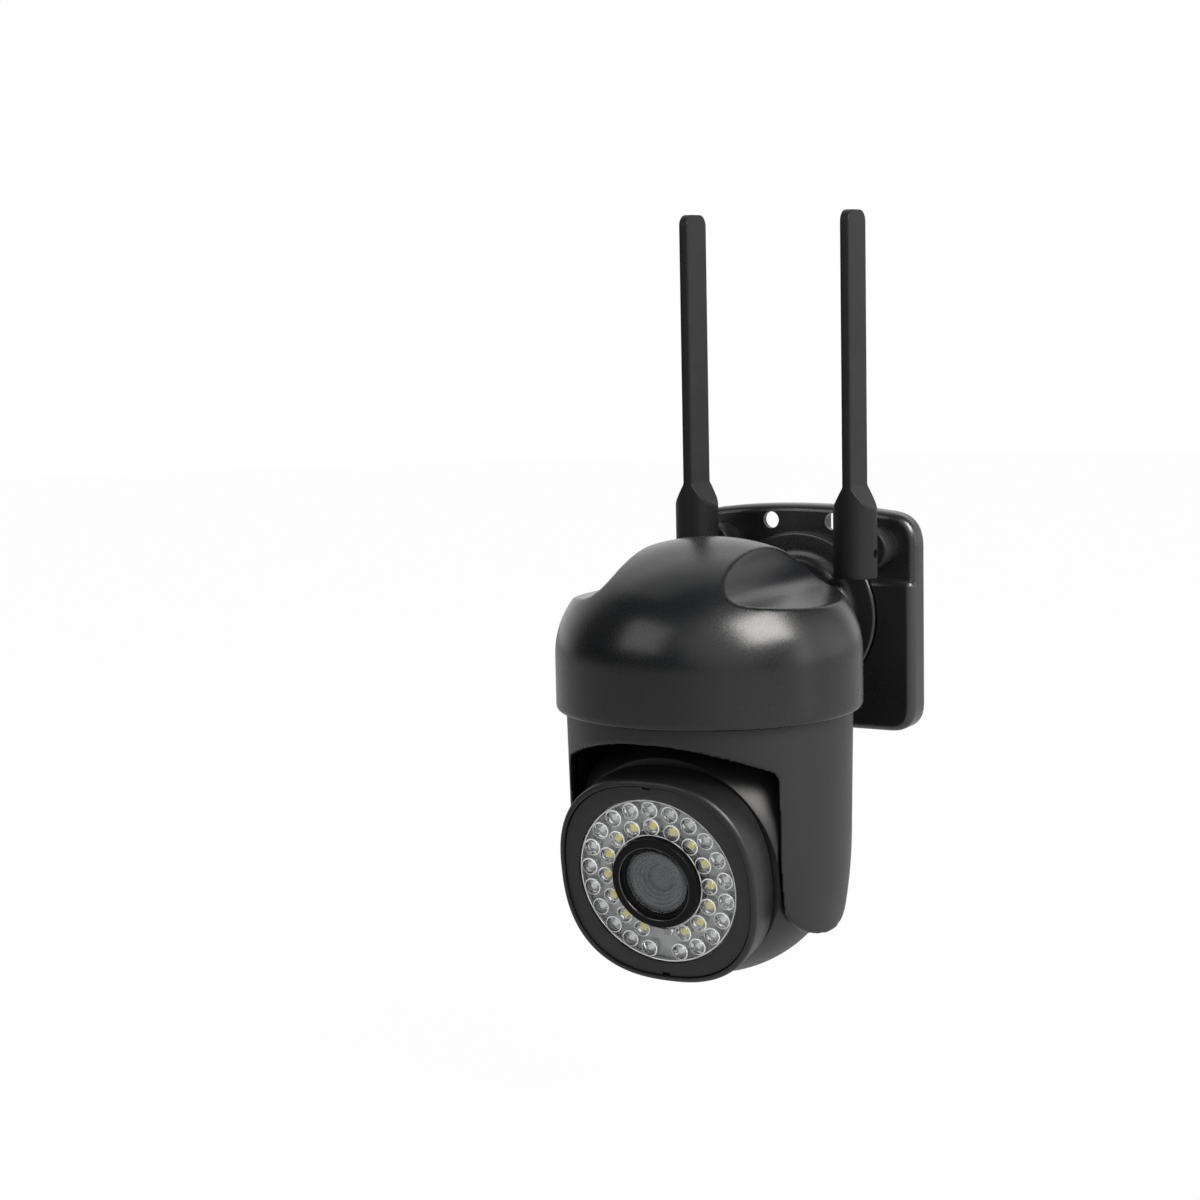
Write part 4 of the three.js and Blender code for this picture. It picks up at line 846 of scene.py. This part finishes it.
def build_cap():
    """The dome over its skirt, with both channels cut through it and then hollowed."""
    s = sizes("camera_cap")
    pad_radius, pad_start, bore_radius = 11.4, s.radius - 9.03, 8.3
    post_radius, post_hole, post_low, above = 3.6, 1.7, 10.21, 60
    post_ring = s.radius - 9
    height = sizes("camera_bracket").arm_height - CAP_LOW.z
    rim = arc((s.radius - s.rim_bevel, s.rim_bevel), s.rim_bevel, -90, 0, 5)
    cap = turned("cap_moulding", [(0, 0), *rim, *dome_points(s, 0, 40)], 144)
    join(cap, backward(rod("boss", s.boss_radius, s.radius - 12, s.boss_reach, 96), height))
    cut(cap, channel(s, 1, 0), channel(s, -1, 0))
    fused(cap, s.voxel, 7)
    hollow = turned("hollow", [(0, -1), (s.radius - s.wall, -1), *dome_points(s, s.wall, 16)], 96)
    cut(hollow, channel(s, 1, s.wall), channel(s, -1, s.wall))
    cut(hollow, backward(rod("pad", pad_radius, pad_start, s.boss_reach, 52), height))
    for turned_by in (45, 135, 225, 315):
        x, y = [post_ring * f(math.radians(turned_by)) for f in (math.cos, math.sin)]
        post = cut(rod("post", post_radius, post_low, above, 26), rod("post_hole", post_hole, 9, 19, 18))
        cut(hollow, at(post, x, y))
    cut(cap, hollow)
    cut(cap, backward(rod("bore", bore_radius, 0, s.boss_reach + 1, 60), height))
    finished(cap, cap_frame, "bracket", "cap", ["dome_cap"], 50)


# ---------------- fork
def drum_points(s, inset):
    """From the rim's level down the drum to its waist and along the ears."""
    waist = TILT.z - CAP_LOW.z + 5
    points = [(s.radius - inset, 0)]
    points += [(s.waist - inset - d * d / (2 * s.sweep), waist - d) for d in range(0, 34, 3)]
    return points


def arch_shoulder(s):
    """Where the arch's corners end and its sides run straight down, from the rim."""
    rise = math.sqrt((s.arch_bow - s.arch_corner) ** 2 - (s.arch_half - s.arch_corner) ** 2)
    return rise - s.arch_top - s.arch_bow


def tongue(s, inset):
    """What is left of the drum seen from the side: all of it above, a rounded ear below."""
    shoulder = arch_shoulder(s) + inset
    centre = TILT.z - CAP_LOW.z - s.ear_bottom + s.ear_round
    half = superellipse(s.ear_half - inset, s.ear_round - inset, 2.1, 96)
    lower = [(x, centre + y) for x, y in half[48:]]
    far = 80
    points = [(far, shoulder), (far, far), (-far, far), (-far, shoulder), (inset - s.ear_half, shoulder),
              *lower, (s.ear_half - inset, shoulder)]
    return turn(raised("tongue", points, -far, far), TO_SIDE)


def arch(s):
    """The room for the ball, open at the front, the back and below, with a shallow bow over it."""
    bow, shoulder, inner = -s.arch_top - s.arch_bow, arch_shoulder(s), s.arch_half - s.arch_corner
    below, along = -150, 90
    meeting = math.degrees(math.atan2(shoulder - bow, inner))
    upper = arc((inner, shoulder), s.arch_corner, 0, meeting, 8)
    upper += arc((0, bow), s.arch_bow, meeting, 180 - meeting, 40)[1:-1]
    upper += arc((-inner, shoulder), s.arch_corner, 180 - meeting, 180, 8)
    outline = [(-s.arch_half, below), (s.arch_half, below), *upper]
    return turn(raised("arch", outline, -along, along), TO_FRONT)


def build_fork():
    """The drum cut to two ears by the arch and then hollowed, with the spindle on its deck."""
    s = sizes("camera_fork")
    lowest = TILT.z - CAP_LOW.z - s.ear_bottom - 10
    deck_round, above = 0.6, 40
    outer = [(0, s.deck_high), (s.radius - deck_round, s.deck_high), (s.radius, s.deck_high - deck_round),
             *drum_points(s, 0)]
    inner = [(0, s.deck_low), (s.radius - s.wall, s.deck_low), *drum_points(s, s.wall)]
    fork = turned("fork_moulding", outer + [(outer[-1][0], lowest), (0, lowest)], 144)
    common(fork, tongue(s, 0))
    join(fork, rod("spindle", s.spindle, s.deck_high - 1, FORK_HIGH.z - CAP_LOW.z, 48))
    cut(fork, arch(s))
    fused(fork, s.voxel, 5)
    hollow = turned("hollow", inner + [(inner[-1][0], lowest - 1), (0, lowest - 1)], 96)
    common(hollow, tongue(s, s.wall))
    cut(fork, hollow, rod("cable_way", s.spindle_bore, s.deck_low - 1, above, 40))
    finished(fork, cap_frame, "fork", "fork", ["fork_shell"], 50)


# ---------------- ball head
def ball(radius, front, flat, steps):
    """A ball with flat sides and a flat front face."""
    start = math.acos(front / radius)
    count = steps // 2
    angles = [start + (math.pi - start) * i / count for i in range(count + 1)]
    side_points = [(radius * math.sin(a), radius * math.cos(a)) for a in angles[:-1]]
    piece = turned("ball", [(0, front), *side_points, (0, -radius)], steps)
    for side in (-1, 1):
        edit_all(piece)
        bpy.ops.mesh.bisect(
            plane_co=(side * flat, 0, 0), plane_no=(side, 0, 0), use_fill=True, clear_outer=True
        )
        bpy.ops.mesh.select_all(action="SELECT")
        bpy.ops.mesh.normals_make_consistent(inside=False)
    object_mode()
    return piece


def build_ball():
    """The ball's shell, with the shaft's holes in its flat sides and an opening into the snout."""
    s = sizes("camera_head")
    shaft_radius, bulkhead_radius, beyond = 5.3, 22, 60
    shell = ball(s.ball_radius, s.joint_reach, s.ball_flat, 144)
    eased(shell, 0.7, 3, 28)
    wall = s.ball_wall
    cut(shell, ball(s.ball_radius - wall, s.joint_reach - wall, s.ball_flat - wall, 72))
    shaft = rod("shaft_hole", shaft_radius, -beyond, beyond, 40)
    cut(shell, turn(shaft, Matrix.Rotation(math.radians(90), 4, "Y")))
    cut(shell, rod("bulkhead", bulkhead_radius, 0, 40, 72))
    shell.name = shell.data.name = "ball_moulding"
    on_head(shell, "fork", ["head_rear_shell"])


SQUARENESS = 2.45  # power of the ovals of the snout and its opening


def snout_outline(s, inset, count=168):
    return superellipse(s.snout_half - inset, s.snout_high - inset, SQUARENESS, count)


def build_snout():
    """The snout, its front edge rounded before it is cut for the bezel, the lamps and the inside."""
    s = sizes("camera_head")
    shelf, opening, wall, hollow_end = 36.9, 29.5, 2.6, 34
    beyond = s.snout_front + 1
    snout = raised("snout_moulding", snout_outline(s, 0), s.snout_back, s.snout_front)
    only(snout)
    bpy.ops.object.mode_set(mode="EDIT")
    bpy.ops.mesh.select_mode(type="FACE")
    bpy.ops.mesh.select_all(action="DESELECT")
    object_mode()
    for face in snout.data.polygons:
        face.select = face.normal.z > 0.99
    bpy.ops.object.mode_set(mode="EDIT")
    bpy.ops.mesh.region_to_loop()
    bpy.ops.mesh.bevel(offset=s.snout_edge, segments=7, affect="EDGES")
    bpy.ops.mesh.select_mode(type="VERT")
    object_mode()
    cut(snout, raised("seat", snout_outline(s, s.bezel_inset - GAP), shelf, beyond))
    cut(snout, raised("opening", superellipse(opening, opening, SQUARENESS, 96), 0, beyond))
    cut(snout, raised("hollow", snout_outline(s, wall, 96), 0, hollow_end))
    eased(snout, 0.3, 2, 60)
    on_head(snout, "fork", ["head_front_shell"])
    seal = raised("head_gasket", snout_outline(s, 1.0), s.joint_reach + GAP, s.snout_back - GAP)
    cut(seal, raised("seal_hole", snout_outline(s, wall), 20, 30))
    on_head(seal, "rubber", ["head_seal"])


def build_bezel():
    """The matte ring round the lamps, with two small release notches in its edge."""
    s = sizes("camera_head")
    thickness, notch_half, notch_depth = 2.8, 1.3, 0.9
    bezel = raised("lamp_bezel", snout_outline(s, s.bezel_inset), s.bezel_face - thickness, s.bezel_face)
    bore = s.plate_radius + GAP
    cut(bezel, rod("bore", bore, 30, 50, 144))
    for up in (-1, 1):
        edge = up * (s.snout_high - s.bezel_inset)
        low, high = sorted((edge, edge - up * notch_depth))
        cut(bezel, box("notch", (-notch_half, low, 39), (notch_half, high, 42)))
    eased(bezel, 0.35, 2, 60)
    on_head(bezel, "bezel", ["bezel"])


# ---------------- lamps
def lamp_rings(s):
    """Places of the lamps in the outer and the inner ring, each lamp so many degrees from the next."""
    outer_pitch, inner_pitch = 16.7, 22.35
    outer = ring_places(s.outer_count, s.outer_ring, outer_pitch)
    inner = ring_places(s.inner_count, s.inner_ring, inner_pitch)
    return outer, inner


def spread(piece, places, spin=0):
    """Copies of one small piece round its ring, joined into one; spin turns each a little further."""
    copies = []
    for i, (x, y) in enumerate(places):
        copy = copied(piece, f"{piece.name}_{i}")
        outwards = math.atan2(y, x) + spin * i
        turn(copy, Matrix.Translation((x, y, 0)) @ Matrix.Rotation(outwards, 4, "Z"))
        copies.append(copy)
    name = piece.name
    bpy.data.objects.remove(piece)
    new_piece()
    for copy in copies:
        copy.select_set(True)
    bpy.context.view_layer.objects.active = copies[0]
    bpy.ops.object.join()
    return named(name)


def ring_section(name, radius, reach, half, rise, sides):
    """A thin ring with an oval section."""
    turns = [math.radians(45 * i) for i in range(9)]
    return turned(name, [(radius + half * math.cos(a), reach + rise * math.sin(a)) for a in turns], sides)


def build_light_plate():
    """Clear plate with a dome and a hollow at every lamp; pale rings on its edges are painted highlights."""
    s = sizes("camera_head")
    outer, inner = lamp_rings(s)
    lamps = outer + inner
    face, under, foot, ledge = s.plate_face, s.plate_face - 1.8, 35.9, 36.9
    bore, edge = s.hood_radius + GAP, s.plate_radius
    sleeve, skirt, flange = bore + 1.6, edge - 0.8, edge + 1.5
    profile = [(bore, face - 0.2), (bore, foot), (sleeve, foot), (sleeve, under), (skirt, under),
               (skirt, foot), (flange, foot), (flange, ledge), (edge, ledge), (edge, face - 0.3),
               (edge - 0.3, face), (bore + 0.2, face), (bore, face - 0.2)]
    plate = turned("lamp_window", profile, 144)
    sunk, lift = -0.4, 0.15
    bulge = [(0, sunk), (s.dome_radius, sunk), (s.dome_radius, lift)]
    bulge += [(s.dome_radius * math.cos(a), lift + (s.dome_height - lift) * math.sin(a))
              for a in [math.radians(15 * i) for i in range(1, 6)]] + [(0, s.dome_height)]
    dome = turned("domes", bulge, 32)
    at(dome, 0, 0, face)
    join(plate, spread(dome, lamps))
    r, roof = s.pocket_radius, under + 1.5
    pocket = turned("pockets", [(0, under - 1), (r, under - 1), (r, under + 0.7), (r * 0.9, under + 1.1),
                                (r * 0.6, under + 1.4), (0, roof)], 24)
    cut(plate, spread(pocket, lamps))
    on_head(plate, "clear", ["light_plate"], 35)
    # Pale rings round every dome, the window's edge and its bore: painted highlights where edges catch the
    # light.
    rim = ring_section("lamp_rims", s.dome_radius + 0.02, face + 0.14, 0.27, 0.22, 32)
    on_head(spread(rim, lamps), "rim", (), 50)
    for name, radius in (("window_rim", edge - 0.28), ("bore_rim", bore + 0.3)):
        rim = ring_section(name, radius, face - 0.02, 0.2, 0.1, 144)
        on_head(rim, "rim", (), 50)


def build_lamps():
    """The pale board with a holder and a chip for every lamp, and the small light sensor."""
    s = sizes("camera_head")
    outer, inner = lamp_rings(s)
    board_radius, board_bore, notch_radius, notch_place = 31, 11.8, 3.1, 21.2
    top = s.board_face
    board = cut(rod("lamp_board", board_radius, top - 1.6, top, 128), rod("middle", board_bore, 30, 36, 64))
    for x in (-notch_place, notch_place):
        for y in (-notch_place, notch_place):
            cut(board, at(rod("notch", notch_radius, 30, 36, 32), x, y))
    on_head(board, "board", ["light_board"])
    roof = s.plate_face - 0.5
    seat_half, seat_top, chip_top, chip_spin = 1.4, roof - 0.85, roof - 0.35, 0.35
    for ring, places, half, finish in (("outer", outer, 0.75, "chip"), ("inner", inner, 0.92, "phosphor")):
        holder = box(f"{ring}_holders", (-seat_half, -seat_half, top), (seat_half, seat_half, seat_top))
        on_head(spread(eased(holder, 0.15, 2), places), "seat")
        chip = box(f"{ring}_chips", (-half, -half, seat_top), (half, half, chip_top))
        on_head(spread(eased(chip, 0.12, 2), places, chip_spin), finish)
    low = top + GAP
    profile = [(0, low), (1.6, low), (1.6, low + 1.0), (1.45, low + 1.4), (1.0, low + 1.7), (0, low + 1.85)]
    sensor = at(turned("sensor_window", profile, 32), 0, -s.inner_ring)
    on_head(sensor, "sensor", ["light_sensor"], 50)


# ---------------- lens
def build_hood():
    """The hood round the glass, with its polished lip."""
    s = sizes("camera_head")
    back, ledge, mouth, flange = s.board_face + GAP, s.barrel_radius + GAP, s.glass_radius + GAP, 35.6
    foot, face_round, lip_round = s.hood_radius + 1.2, 0.7, 0.35
    crown, shelf = s.glass_face, s.glass_face - 1.7
    profile = [(ledge, back), (foot, back), (foot, flange), (s.hood_radius, flange)]
    profile += arc((s.hood_radius - face_round, s.hood_face - face_round), face_round, 0, 90, 6)
    profile += arc((s.lip_radius + lip_round, s.hood_face - lip_round), lip_round, 90, 180, 4)
    profile += [(s.lip_radius, crown - 0.3), (mouth + 0.1, crown - 0.5), (mouth, crown - 0.7),
                (mouth, shelf), (ledge, shelf), (ledge, back)]
    hood = turned("hood_ring", profile, 128)
    on_head(hood, "hood", ["lens_hood"], 32)
    lip = ring_section("hood_lip", s.lip_radius + 0.3, s.hood_face - 0.34, 0.36, 0.34, 128)
    on_head(lip, "lip", (), 60)


def build_lens():
    """The crowned front glass and the stepped barrel behind it."""
    s = sizes("camera_head")
    thickness = 1.4
    rim, low = s.glass_radius, s.glass_face - thickness
    crown = [(rim * math.sin(a), low + thickness * math.cos(a))
             for a in [math.radians(7.5 * i) for i in range(1, 12)]]
    profile = [(0, low), (rim, low), (rim, low + 0.25), *reversed(crown), (0, low + thickness)]
    on_head(turned("front_glass", profile, 96), "glass", ["lens_glass"], 50)
    r, front = s.barrel_radius, low - GAP
    steps = [(r, front), (r - 0.9, front), (r - 1.2, front - 0.5), (r - 2.1, front - 0.6),
             (r - 2.4, front - 1.3), (r - 3.1, front - 1.4), (r - 3.5, front - 2.2), (r - 4.2, front - 2.3),
             (r - 4.6, front - 3.2)]
    inner, crown_rise = r - 4.6, 1.3
    bulb = [(inner * math.cos(a), front - 3.2 + crown_rise * math.sin(a))
            for a in [math.radians(15 * i) for i in range(1, 6)]]
    tail, tail_radius = 14, 10.8
    profile = [(0, tail), (tail_radius, tail), (tail_radius, 23), (r - 1, 25), (r - 1, 29), (r, 30), *steps,
               *bulb, (0, front - 1.9)]
    on_head(turned("barrel_rings", profile, 96), "barrel", ["lens_barrel"], 30)


# ---------------- antennas
def pin_bore(reach):
    """A cutter for the fold pin, along x at this reach."""
    return turn(rod("pin_hole", 1.5, -20, 20, 32), Matrix.Translation((0, 0, reach)) @ TO_SIDE)


def build_antenna(side, name):
    """A round foot that flares into a flat blade, slotted for its stub, and its fold pin."""
    s = sizes("camera_antenna")
    r, foot, top, half = s.radius, s.foot, s.top, s.blade / 2
    tip, beyond, foot_bevel, stub_room = s.tip_radius, 20, 0.7, 5.9
    rod_body = rod(f"{name}_antenna_moulding", r, -foot - 1, top + 1, 72)
    rise = s.flare_high - s.flare_low
    flare = [(r - (r - half) * (i / 10) ** 0.8, s.flare_low + rise * i / 10) for i in range(11)]
    right = [(r + 1, -foot - 1), (r + 1, s.flare_low), *flare, (half, top + 1)]
    blade = raised("blade", right + [(-x, z) for x, z in reversed(right)], -beyond, beyond)
    common(rod_body, turn(blade, TO_FRONT))
    wide = r + 0.01
    low = math.degrees(math.acos(wide / foot))
    outline = [(-wide, -foot + foot_bevel), (-wide + foot_bevel, -foot), *arc((0, 0), foot, -90, -low, 10)]
    outline += arc((wide - tip, top - tip), tip, 0, 90, 8)
    outline += arc((tip - wide, top - tip), tip, 90, 180, 8)
    common(rod_body, turn(raised("side", outline, -beyond, beyond), TO_SIDE))
    fused(rod_body, s.voxel, 5)
    gap = s.slot / 2
    slot = [(-stub_room, -30), (30, -30), (30, stub_room), *arc((0, 0), stub_room, 90, 180, 14)]
    cut(rod_body, turn(raised("slot", slot, -gap, gap), TO_SIDE))
    cut(rod_body, pin_bore(0))
    place, body = antenna_frame(side), f"{name}_antenna"
    finished(rod_body, place, body, "antenna", [f"antenna_{name}"], 50)
    pin_radius, pin_end = 1.2, r - 1.6
    pin = eased(rod(f"{name}_fold_pin", pin_radius, -pin_end, pin_end, 32), 0.25, 2)
    finished(turn(pin, TO_SIDE), place, body, "steel", [f"fold_pin_{name}"])


def build_stub(side, name):
    """The stub turns in the plate's boss and carries the fold pin between its flats."""
    out, neck, base, journal, inner_end, tongue_half = -FOLD.y, 5.6, 7.1, 3.5, 4.5, 2.2
    front, back = out - 9.6, out - 15.6
    profile = [(0, inner_end), (journal, inner_end), (journal, back), (base, back),
               *arc((6.1, front - 1.0), 1.0, 0, 90, 5), (0, front)]
    stub = turned(f"{name}_stub_moulding", profile, 72)
    outline = [(-neck, front - 1), (neck, front - 1), *arc((0, out), neck, 0, 180, 28)]
    join(stub, turn(raised("tongue", outline, -tongue_half, tongue_half), TO_SIDE))
    cut(stub, pin_bore(out))
    eased(stub, 0.3, 2, 60)
    place = plate_frame @ Matrix.Translation((side * FOLD.x, FOLD.z, 0))
    finished(stub, place, f"{name}_stub", "antenna", [f"antenna_stub_{name}"])


# ---------------- pieces that keep their own solids
KEPT = {
    "nylon": ("pan_bush", "pan_gear", "pan_pinion", "tilt_bush", "tilt_gear", "tilt_pinion"),
    "steel": ("base_screw", "head_screw", "arm_screw", "stub_clip", "arm_nut", "spindle_ring", "tilt_shaft"),
    "motor": ("pan_motor", "tilt_motor"),
    "circuit": ("main_board", "image_board"),
    "inner": ("cap_base", "ear_cover"),
    "rubber": ("cable_grommet",),
}


def dress_kept_pieces():
    for name, solid in frame["nodes"].items():
        for finish, starts in KEPT.items():
            if name.startswith(starts):
                for slot in solid.material_slots:
                    slot.material = finishes[finish]


# ---------------- stage: floor, light and camera
# Where the camera stands, in metres from the wall plate's middle, and how it is turned.
EYE = Vector((354.48, -788.70, 119.03)) * MM
YAW, PITCH, ROLL = math.radians(29.23), math.radians(7.44), math.radians(-1.23)
FOCAL_LENGTH, SENSOR_WIDTH = 73.5, 36  # millimetres
WHITE = (1, 1, 1, 1)


def build_camera():
    """The camera looks down by its pitch, left by its yaw, and is rolled a little."""
    level = math.cos(PITCH)
    forward = Vector((-math.sin(YAW) * level, math.cos(YAW) * level, -math.sin(PITCH)))
    right = Vector((math.cos(YAW), math.sin(YAW), 0))
    up = right.cross(forward)
    across = math.cos(ROLL) * right + math.sin(ROLL) * up
    above = math.cos(ROLL) * up - math.sin(ROLL) * right
    new_piece()
    bpy.ops.object.camera_add()
    camera = bpy.context.object
    camera.name = "camera"
    turned_to = Matrix((across, above, -forward)).transposed().to_4x4()
    camera.matrix_world = Matrix.Translation(EYE) @ turned_to
    camera.data.lens = FOCAL_LENGTH
    camera.data.sensor_width = SENSOR_WIDTH
    camera.data.clip_start, camera.data.clip_end = 0.01, 50
    bpy.context.scene.camera = camera


def lamp(name, place, target, size, power, tint=(1, 1, 1)):
    """A rectangular soft light; place and target in metres, size as width and height."""
    new_piece()
    bpy.ops.object.light_add(type="AREA", location=place)
    light = bpy.context.object
    light.name = name
    light.rotation_euler = (Vector(target) - Vector(place)).to_track_quat("-Z", "Y").to_euler()
    light.data.shape = "RECTANGLE"
    light.data.size, light.data.size_y = size
    light.data.energy = power
    light.data.color = tint


def build_floor(level):
    """A pale floor, almost white to the camera and through clear parts, that keeps a faint shadow."""
    new_piece()
    bpy.ops.mesh.primitive_circle_add(vertices=64, radius=3.0, fill_type="NGON", location=(0, 0, level))
    floor = named("floor")
    material, shader = new_material("pale_floor")
    vector = object_place(material)
    cloud = noise(material, vector, 6, 3)
    coloured(material, shader, cloud, (0.42, 0.42, 0.42), (0.45, 0.45, 0.45))
    shader.inputs["Roughness"].default_value = 0.7
    rays = node(material, "ShaderNodeLightPath")
    white = node(material, "ShaderNodeEmission")
    white.inputs["Color"].default_value = WHITE
    whiteness = 0.0
    for ray, most in (("Is Camera Ray", 0.98), ("Is Transmission Ray", 0.94), ("Is Glossy Ray", 0.25)):
        part = node(material, "ShaderNodeMath")
        part.operation = "MULTIPLY"
        part.inputs[1].default_value = most
        wire(material, rays.outputs[ray], part.inputs[0])
        whiteness = larger(material.node_tree, part.outputs["Value"], whiteness)
    mixed(material, whiteness, shader.outputs["BSDF"], white.outputs["Emission"])
    floor.data.materials.append(material)


def glow(tree, place, towards, narrow, wide, level):
    """A level that rises smoothly towards a direction: none at the cosine wide, all of it at narrow."""
    facing = tree.nodes.new("ShaderNodeVectorMath")
    facing.operation = "DOT_PRODUCT"
    facing.inputs[1].default_value = Vector(towards).normalized()
    tree.links.new(place.outputs["Generated"], facing.inputs[0])
    rise = tree.nodes.new("ShaderNodeMapRange")
    rise.interpolation_type = "SMOOTHSTEP"
    for key, value in (("From Min", wide), ("From Max", narrow), ("To Min", 0.0), ("To Max", level)):
        rise.inputs[key].default_value = value
    tree.links.new(facing.outputs["Value"], rise.inputs["Value"])
    return rise.outputs["Result"]


def larger(tree, one, other):
    """The larger of two values, each a socket or a plain number."""
    pick = tree.nodes.new("ShaderNodeMath")
    pick.operation = "MAXIMUM"
    for socket, value in zip(pick.inputs, (one, other)):
        if isinstance(value, float):
            socket.default_value = value
        else:
            tree.links.new(value, socket)
    return pick.outputs["Value"]


def build_world():
    """White to the camera and through clear parts; for the rest a bright wall behind, two bright
    patches at the right and a dim room in front."""
    look = bpy.context.scene.camera_stage
    world = bpy.data.worlds.new("studio")
    bpy.context.scene.world = world
    world.use_nodes = True
    tree = world.node_tree
    place = tree.nodes.new("ShaderNodeTexCoord")
    rays = tree.nodes.new("ShaderNodeLightPath")
    level = larger(tree, rays.outputs["Is Camera Ray"], rays.outputs["Is Transmission Ray"])
    level = larger(tree, level, look.front_level)
    glows = (
        ((-0.49, 0.87, 0.1), 0.85, 0.36, look.back_level),
        ((0.60, -0.62, 0.50), 0.95, 0.68, look.right_level),
        ((0.88, 0.46, -0.08), 0.97, 0.62, 1.3 * look.right_level),
    )
    for towards, narrow, wide, brightest in glows:
        level = larger(tree, level, glow(tree, place, towards, narrow, wide, brightest))
    tree.links.new(level, tree.nodes["Background"].inputs["Strength"])
    tree.nodes["Background"].inputs["Color"].default_value = WHITE


def build_stage():
    look = bpy.context.scene.camera_stage
    scene = bpy.context.scene
    scene.view_settings.view_transform = "Standard"
    build_floor(-look.floor_drop)
    build_world()
    centre = (0, -0.083, 0.0)
    lamp("key", (0.98, -0.31, 0.88), centre, (0.84, 0.70), look.key_power, (1.0, 0.975, 0.95))
    lamp("fill", (-0.53, -1.10, 0.70), centre, (0.75, 0.75), look.fill_power)
    lamp("side", (1.25, 0.15, 0.25), centre, (0.35, 1.1), look.side_power)
    lamp("top", (-0.45, 0.35, 1.25), centre, (1.3, 1.0), look.top_power)
    build_camera()


# ---------------- operators, one for each piece or group of pieces
class BuildStep:
    """What the operators share: each runs its own build functions, and an error in one stops the script."""

    bl_options = {"REGISTER", "UNDO"}

    def execute(self, context):
        if not finishes:
            finishes.update(make_finishes())
        self.build()
        return {"FINISHED"}


class CAMERA_PARTS_OT_plate(BuildStep, bpy.types.Operator):
    """Wall plate with its bosses, holes and ribs"""

    bl_idname = "camera_parts.plate"
    bl_label = "Wall Plate"

    def build(self):
        build_wall_plate()


class CAMERA_PARTS_OT_arm(BuildStep, bpy.types.Operator):
    """Arm between the plate and the cap, with its seal"""

    bl_idname = "camera_parts.arm"
    bl_label = "Arm and Seal"

    def build(self):
        build_bracket_arm()


class CAMERA_PARTS_OT_cap(BuildStep, bpy.types.Operator):
    """Domed cap with its two antenna channels"""

    bl_idname = "camera_parts.cap"
    bl_label = "Cap"

    def build(self):
        build_cap()


class CAMERA_PARTS_OT_fork(BuildStep, bpy.types.Operator):
    """Fork that turns under the cap and holds the ball"""

    bl_idname = "camera_parts.fork"
    bl_label = "Fork"

    def build(self):
        build_fork()


class CAMERA_PARTS_OT_head(BuildStep, bpy.types.Operator):
    """Ball, snout, seal and bezel"""

    bl_idname = "camera_parts.head"
    bl_label = "Ball Head"

    def build(self):
        build_ball()
        build_snout()
        build_bezel()


class CAMERA_PARTS_OT_lamps(BuildStep, bpy.types.Operator):
    """Lamp board, lamps, light sensor and the clear plate over them"""

    bl_idname = "camera_parts.lamps"
    bl_label = "Lamps"

    def build(self):
        build_lamps()
        build_light_plate()


class CAMERA_PARTS_OT_lens(BuildStep, bpy.types.Operator):
    """Hood, front glass and barrel"""

    bl_idname = "camera_parts.lens"
    bl_label = "Lens"

    def build(self):
        build_hood()
        build_lens()


class CAMERA_PARTS_OT_antennas(BuildStep, bpy.types.Operator):
    """Both folding antennas with their stubs and pins"""

    bl_idname = "camera_parts.antennas"
    bl_label = "Antennas"

    def build(self):
        for side, name in ((1, "right"), (-1, "left")):
            build_antenna(side, name)
            build_stub(side, name)


class CAMERA_PARTS_OT_kept(BuildStep, bpy.types.Operator):
    """Finishes for the drives, boards and screws that keep their own solids"""

    bl_idname = "camera_parts.kept"
    bl_label = "Drives and Screws"

    def build(self):
        dress_kept_pieces()


class CAMERA_PARTS_OT_stage(BuildStep, bpy.types.Operator):
    """Floor, studio light and camera"""

    bl_idname = "camera_parts.stage"
    bl_label = "Stage"

    def build(self):
        build_stage()


STEPS = (
    CAMERA_PARTS_OT_stage,
    CAMERA_PARTS_OT_plate,
    CAMERA_PARTS_OT_arm,
    CAMERA_PARTS_OT_cap,
    CAMERA_PARTS_OT_fork,
    CAMERA_PARTS_OT_head,
    CAMERA_PARTS_OT_lamps,
    CAMERA_PARTS_OT_lens,
    CAMERA_PARTS_OT_antennas,
    CAMERA_PARTS_OT_kept,
)


class CAMERA_PARTS_PT_panel(bpy.types.Panel):
    """Sizes, colours and build steps of the camera"""

    bl_idname = "CAMERA_PARTS_PT_panel"
    bl_label = "Camera Parts"
    bl_space_type = "VIEW_3D"
    bl_region_type = "UI"
    bl_category = "Camera Parts"

    def draw(self, context):
        for step in STEPS:
            self.layout.operator(step.bl_idname)
        for name in GROUPS:
            group = getattr(context.scene, name)
            column = self.layout.column(align=True)
            column.label(text=name.replace("_", " ").capitalize())
            for key in group.__annotations__:
                column.prop(group, key)


def register():
    for cls in (*GROUPS.values(), *STEPS, CAMERA_PARTS_PT_panel):
        bpy.utils.register_class(cls)
    for name, cls in GROUPS.items():
        setattr(bpy.types.Scene, name, bpy.props.PointerProperty(type=cls))


def unregister():
    for name in GROUPS:
        delattr(bpy.types.Scene, name)
    for cls in reversed((*GROUPS.values(), *STEPS, CAMERA_PARTS_PT_panel)):
        bpy.utils.unregister_class(cls)


def main():
    register()
    for step in STEPS:
        group, action = step.bl_idname.split(".")
        getattr(getattr(bpy.ops, group), action)()


if __name__ == "__main__":
    main()
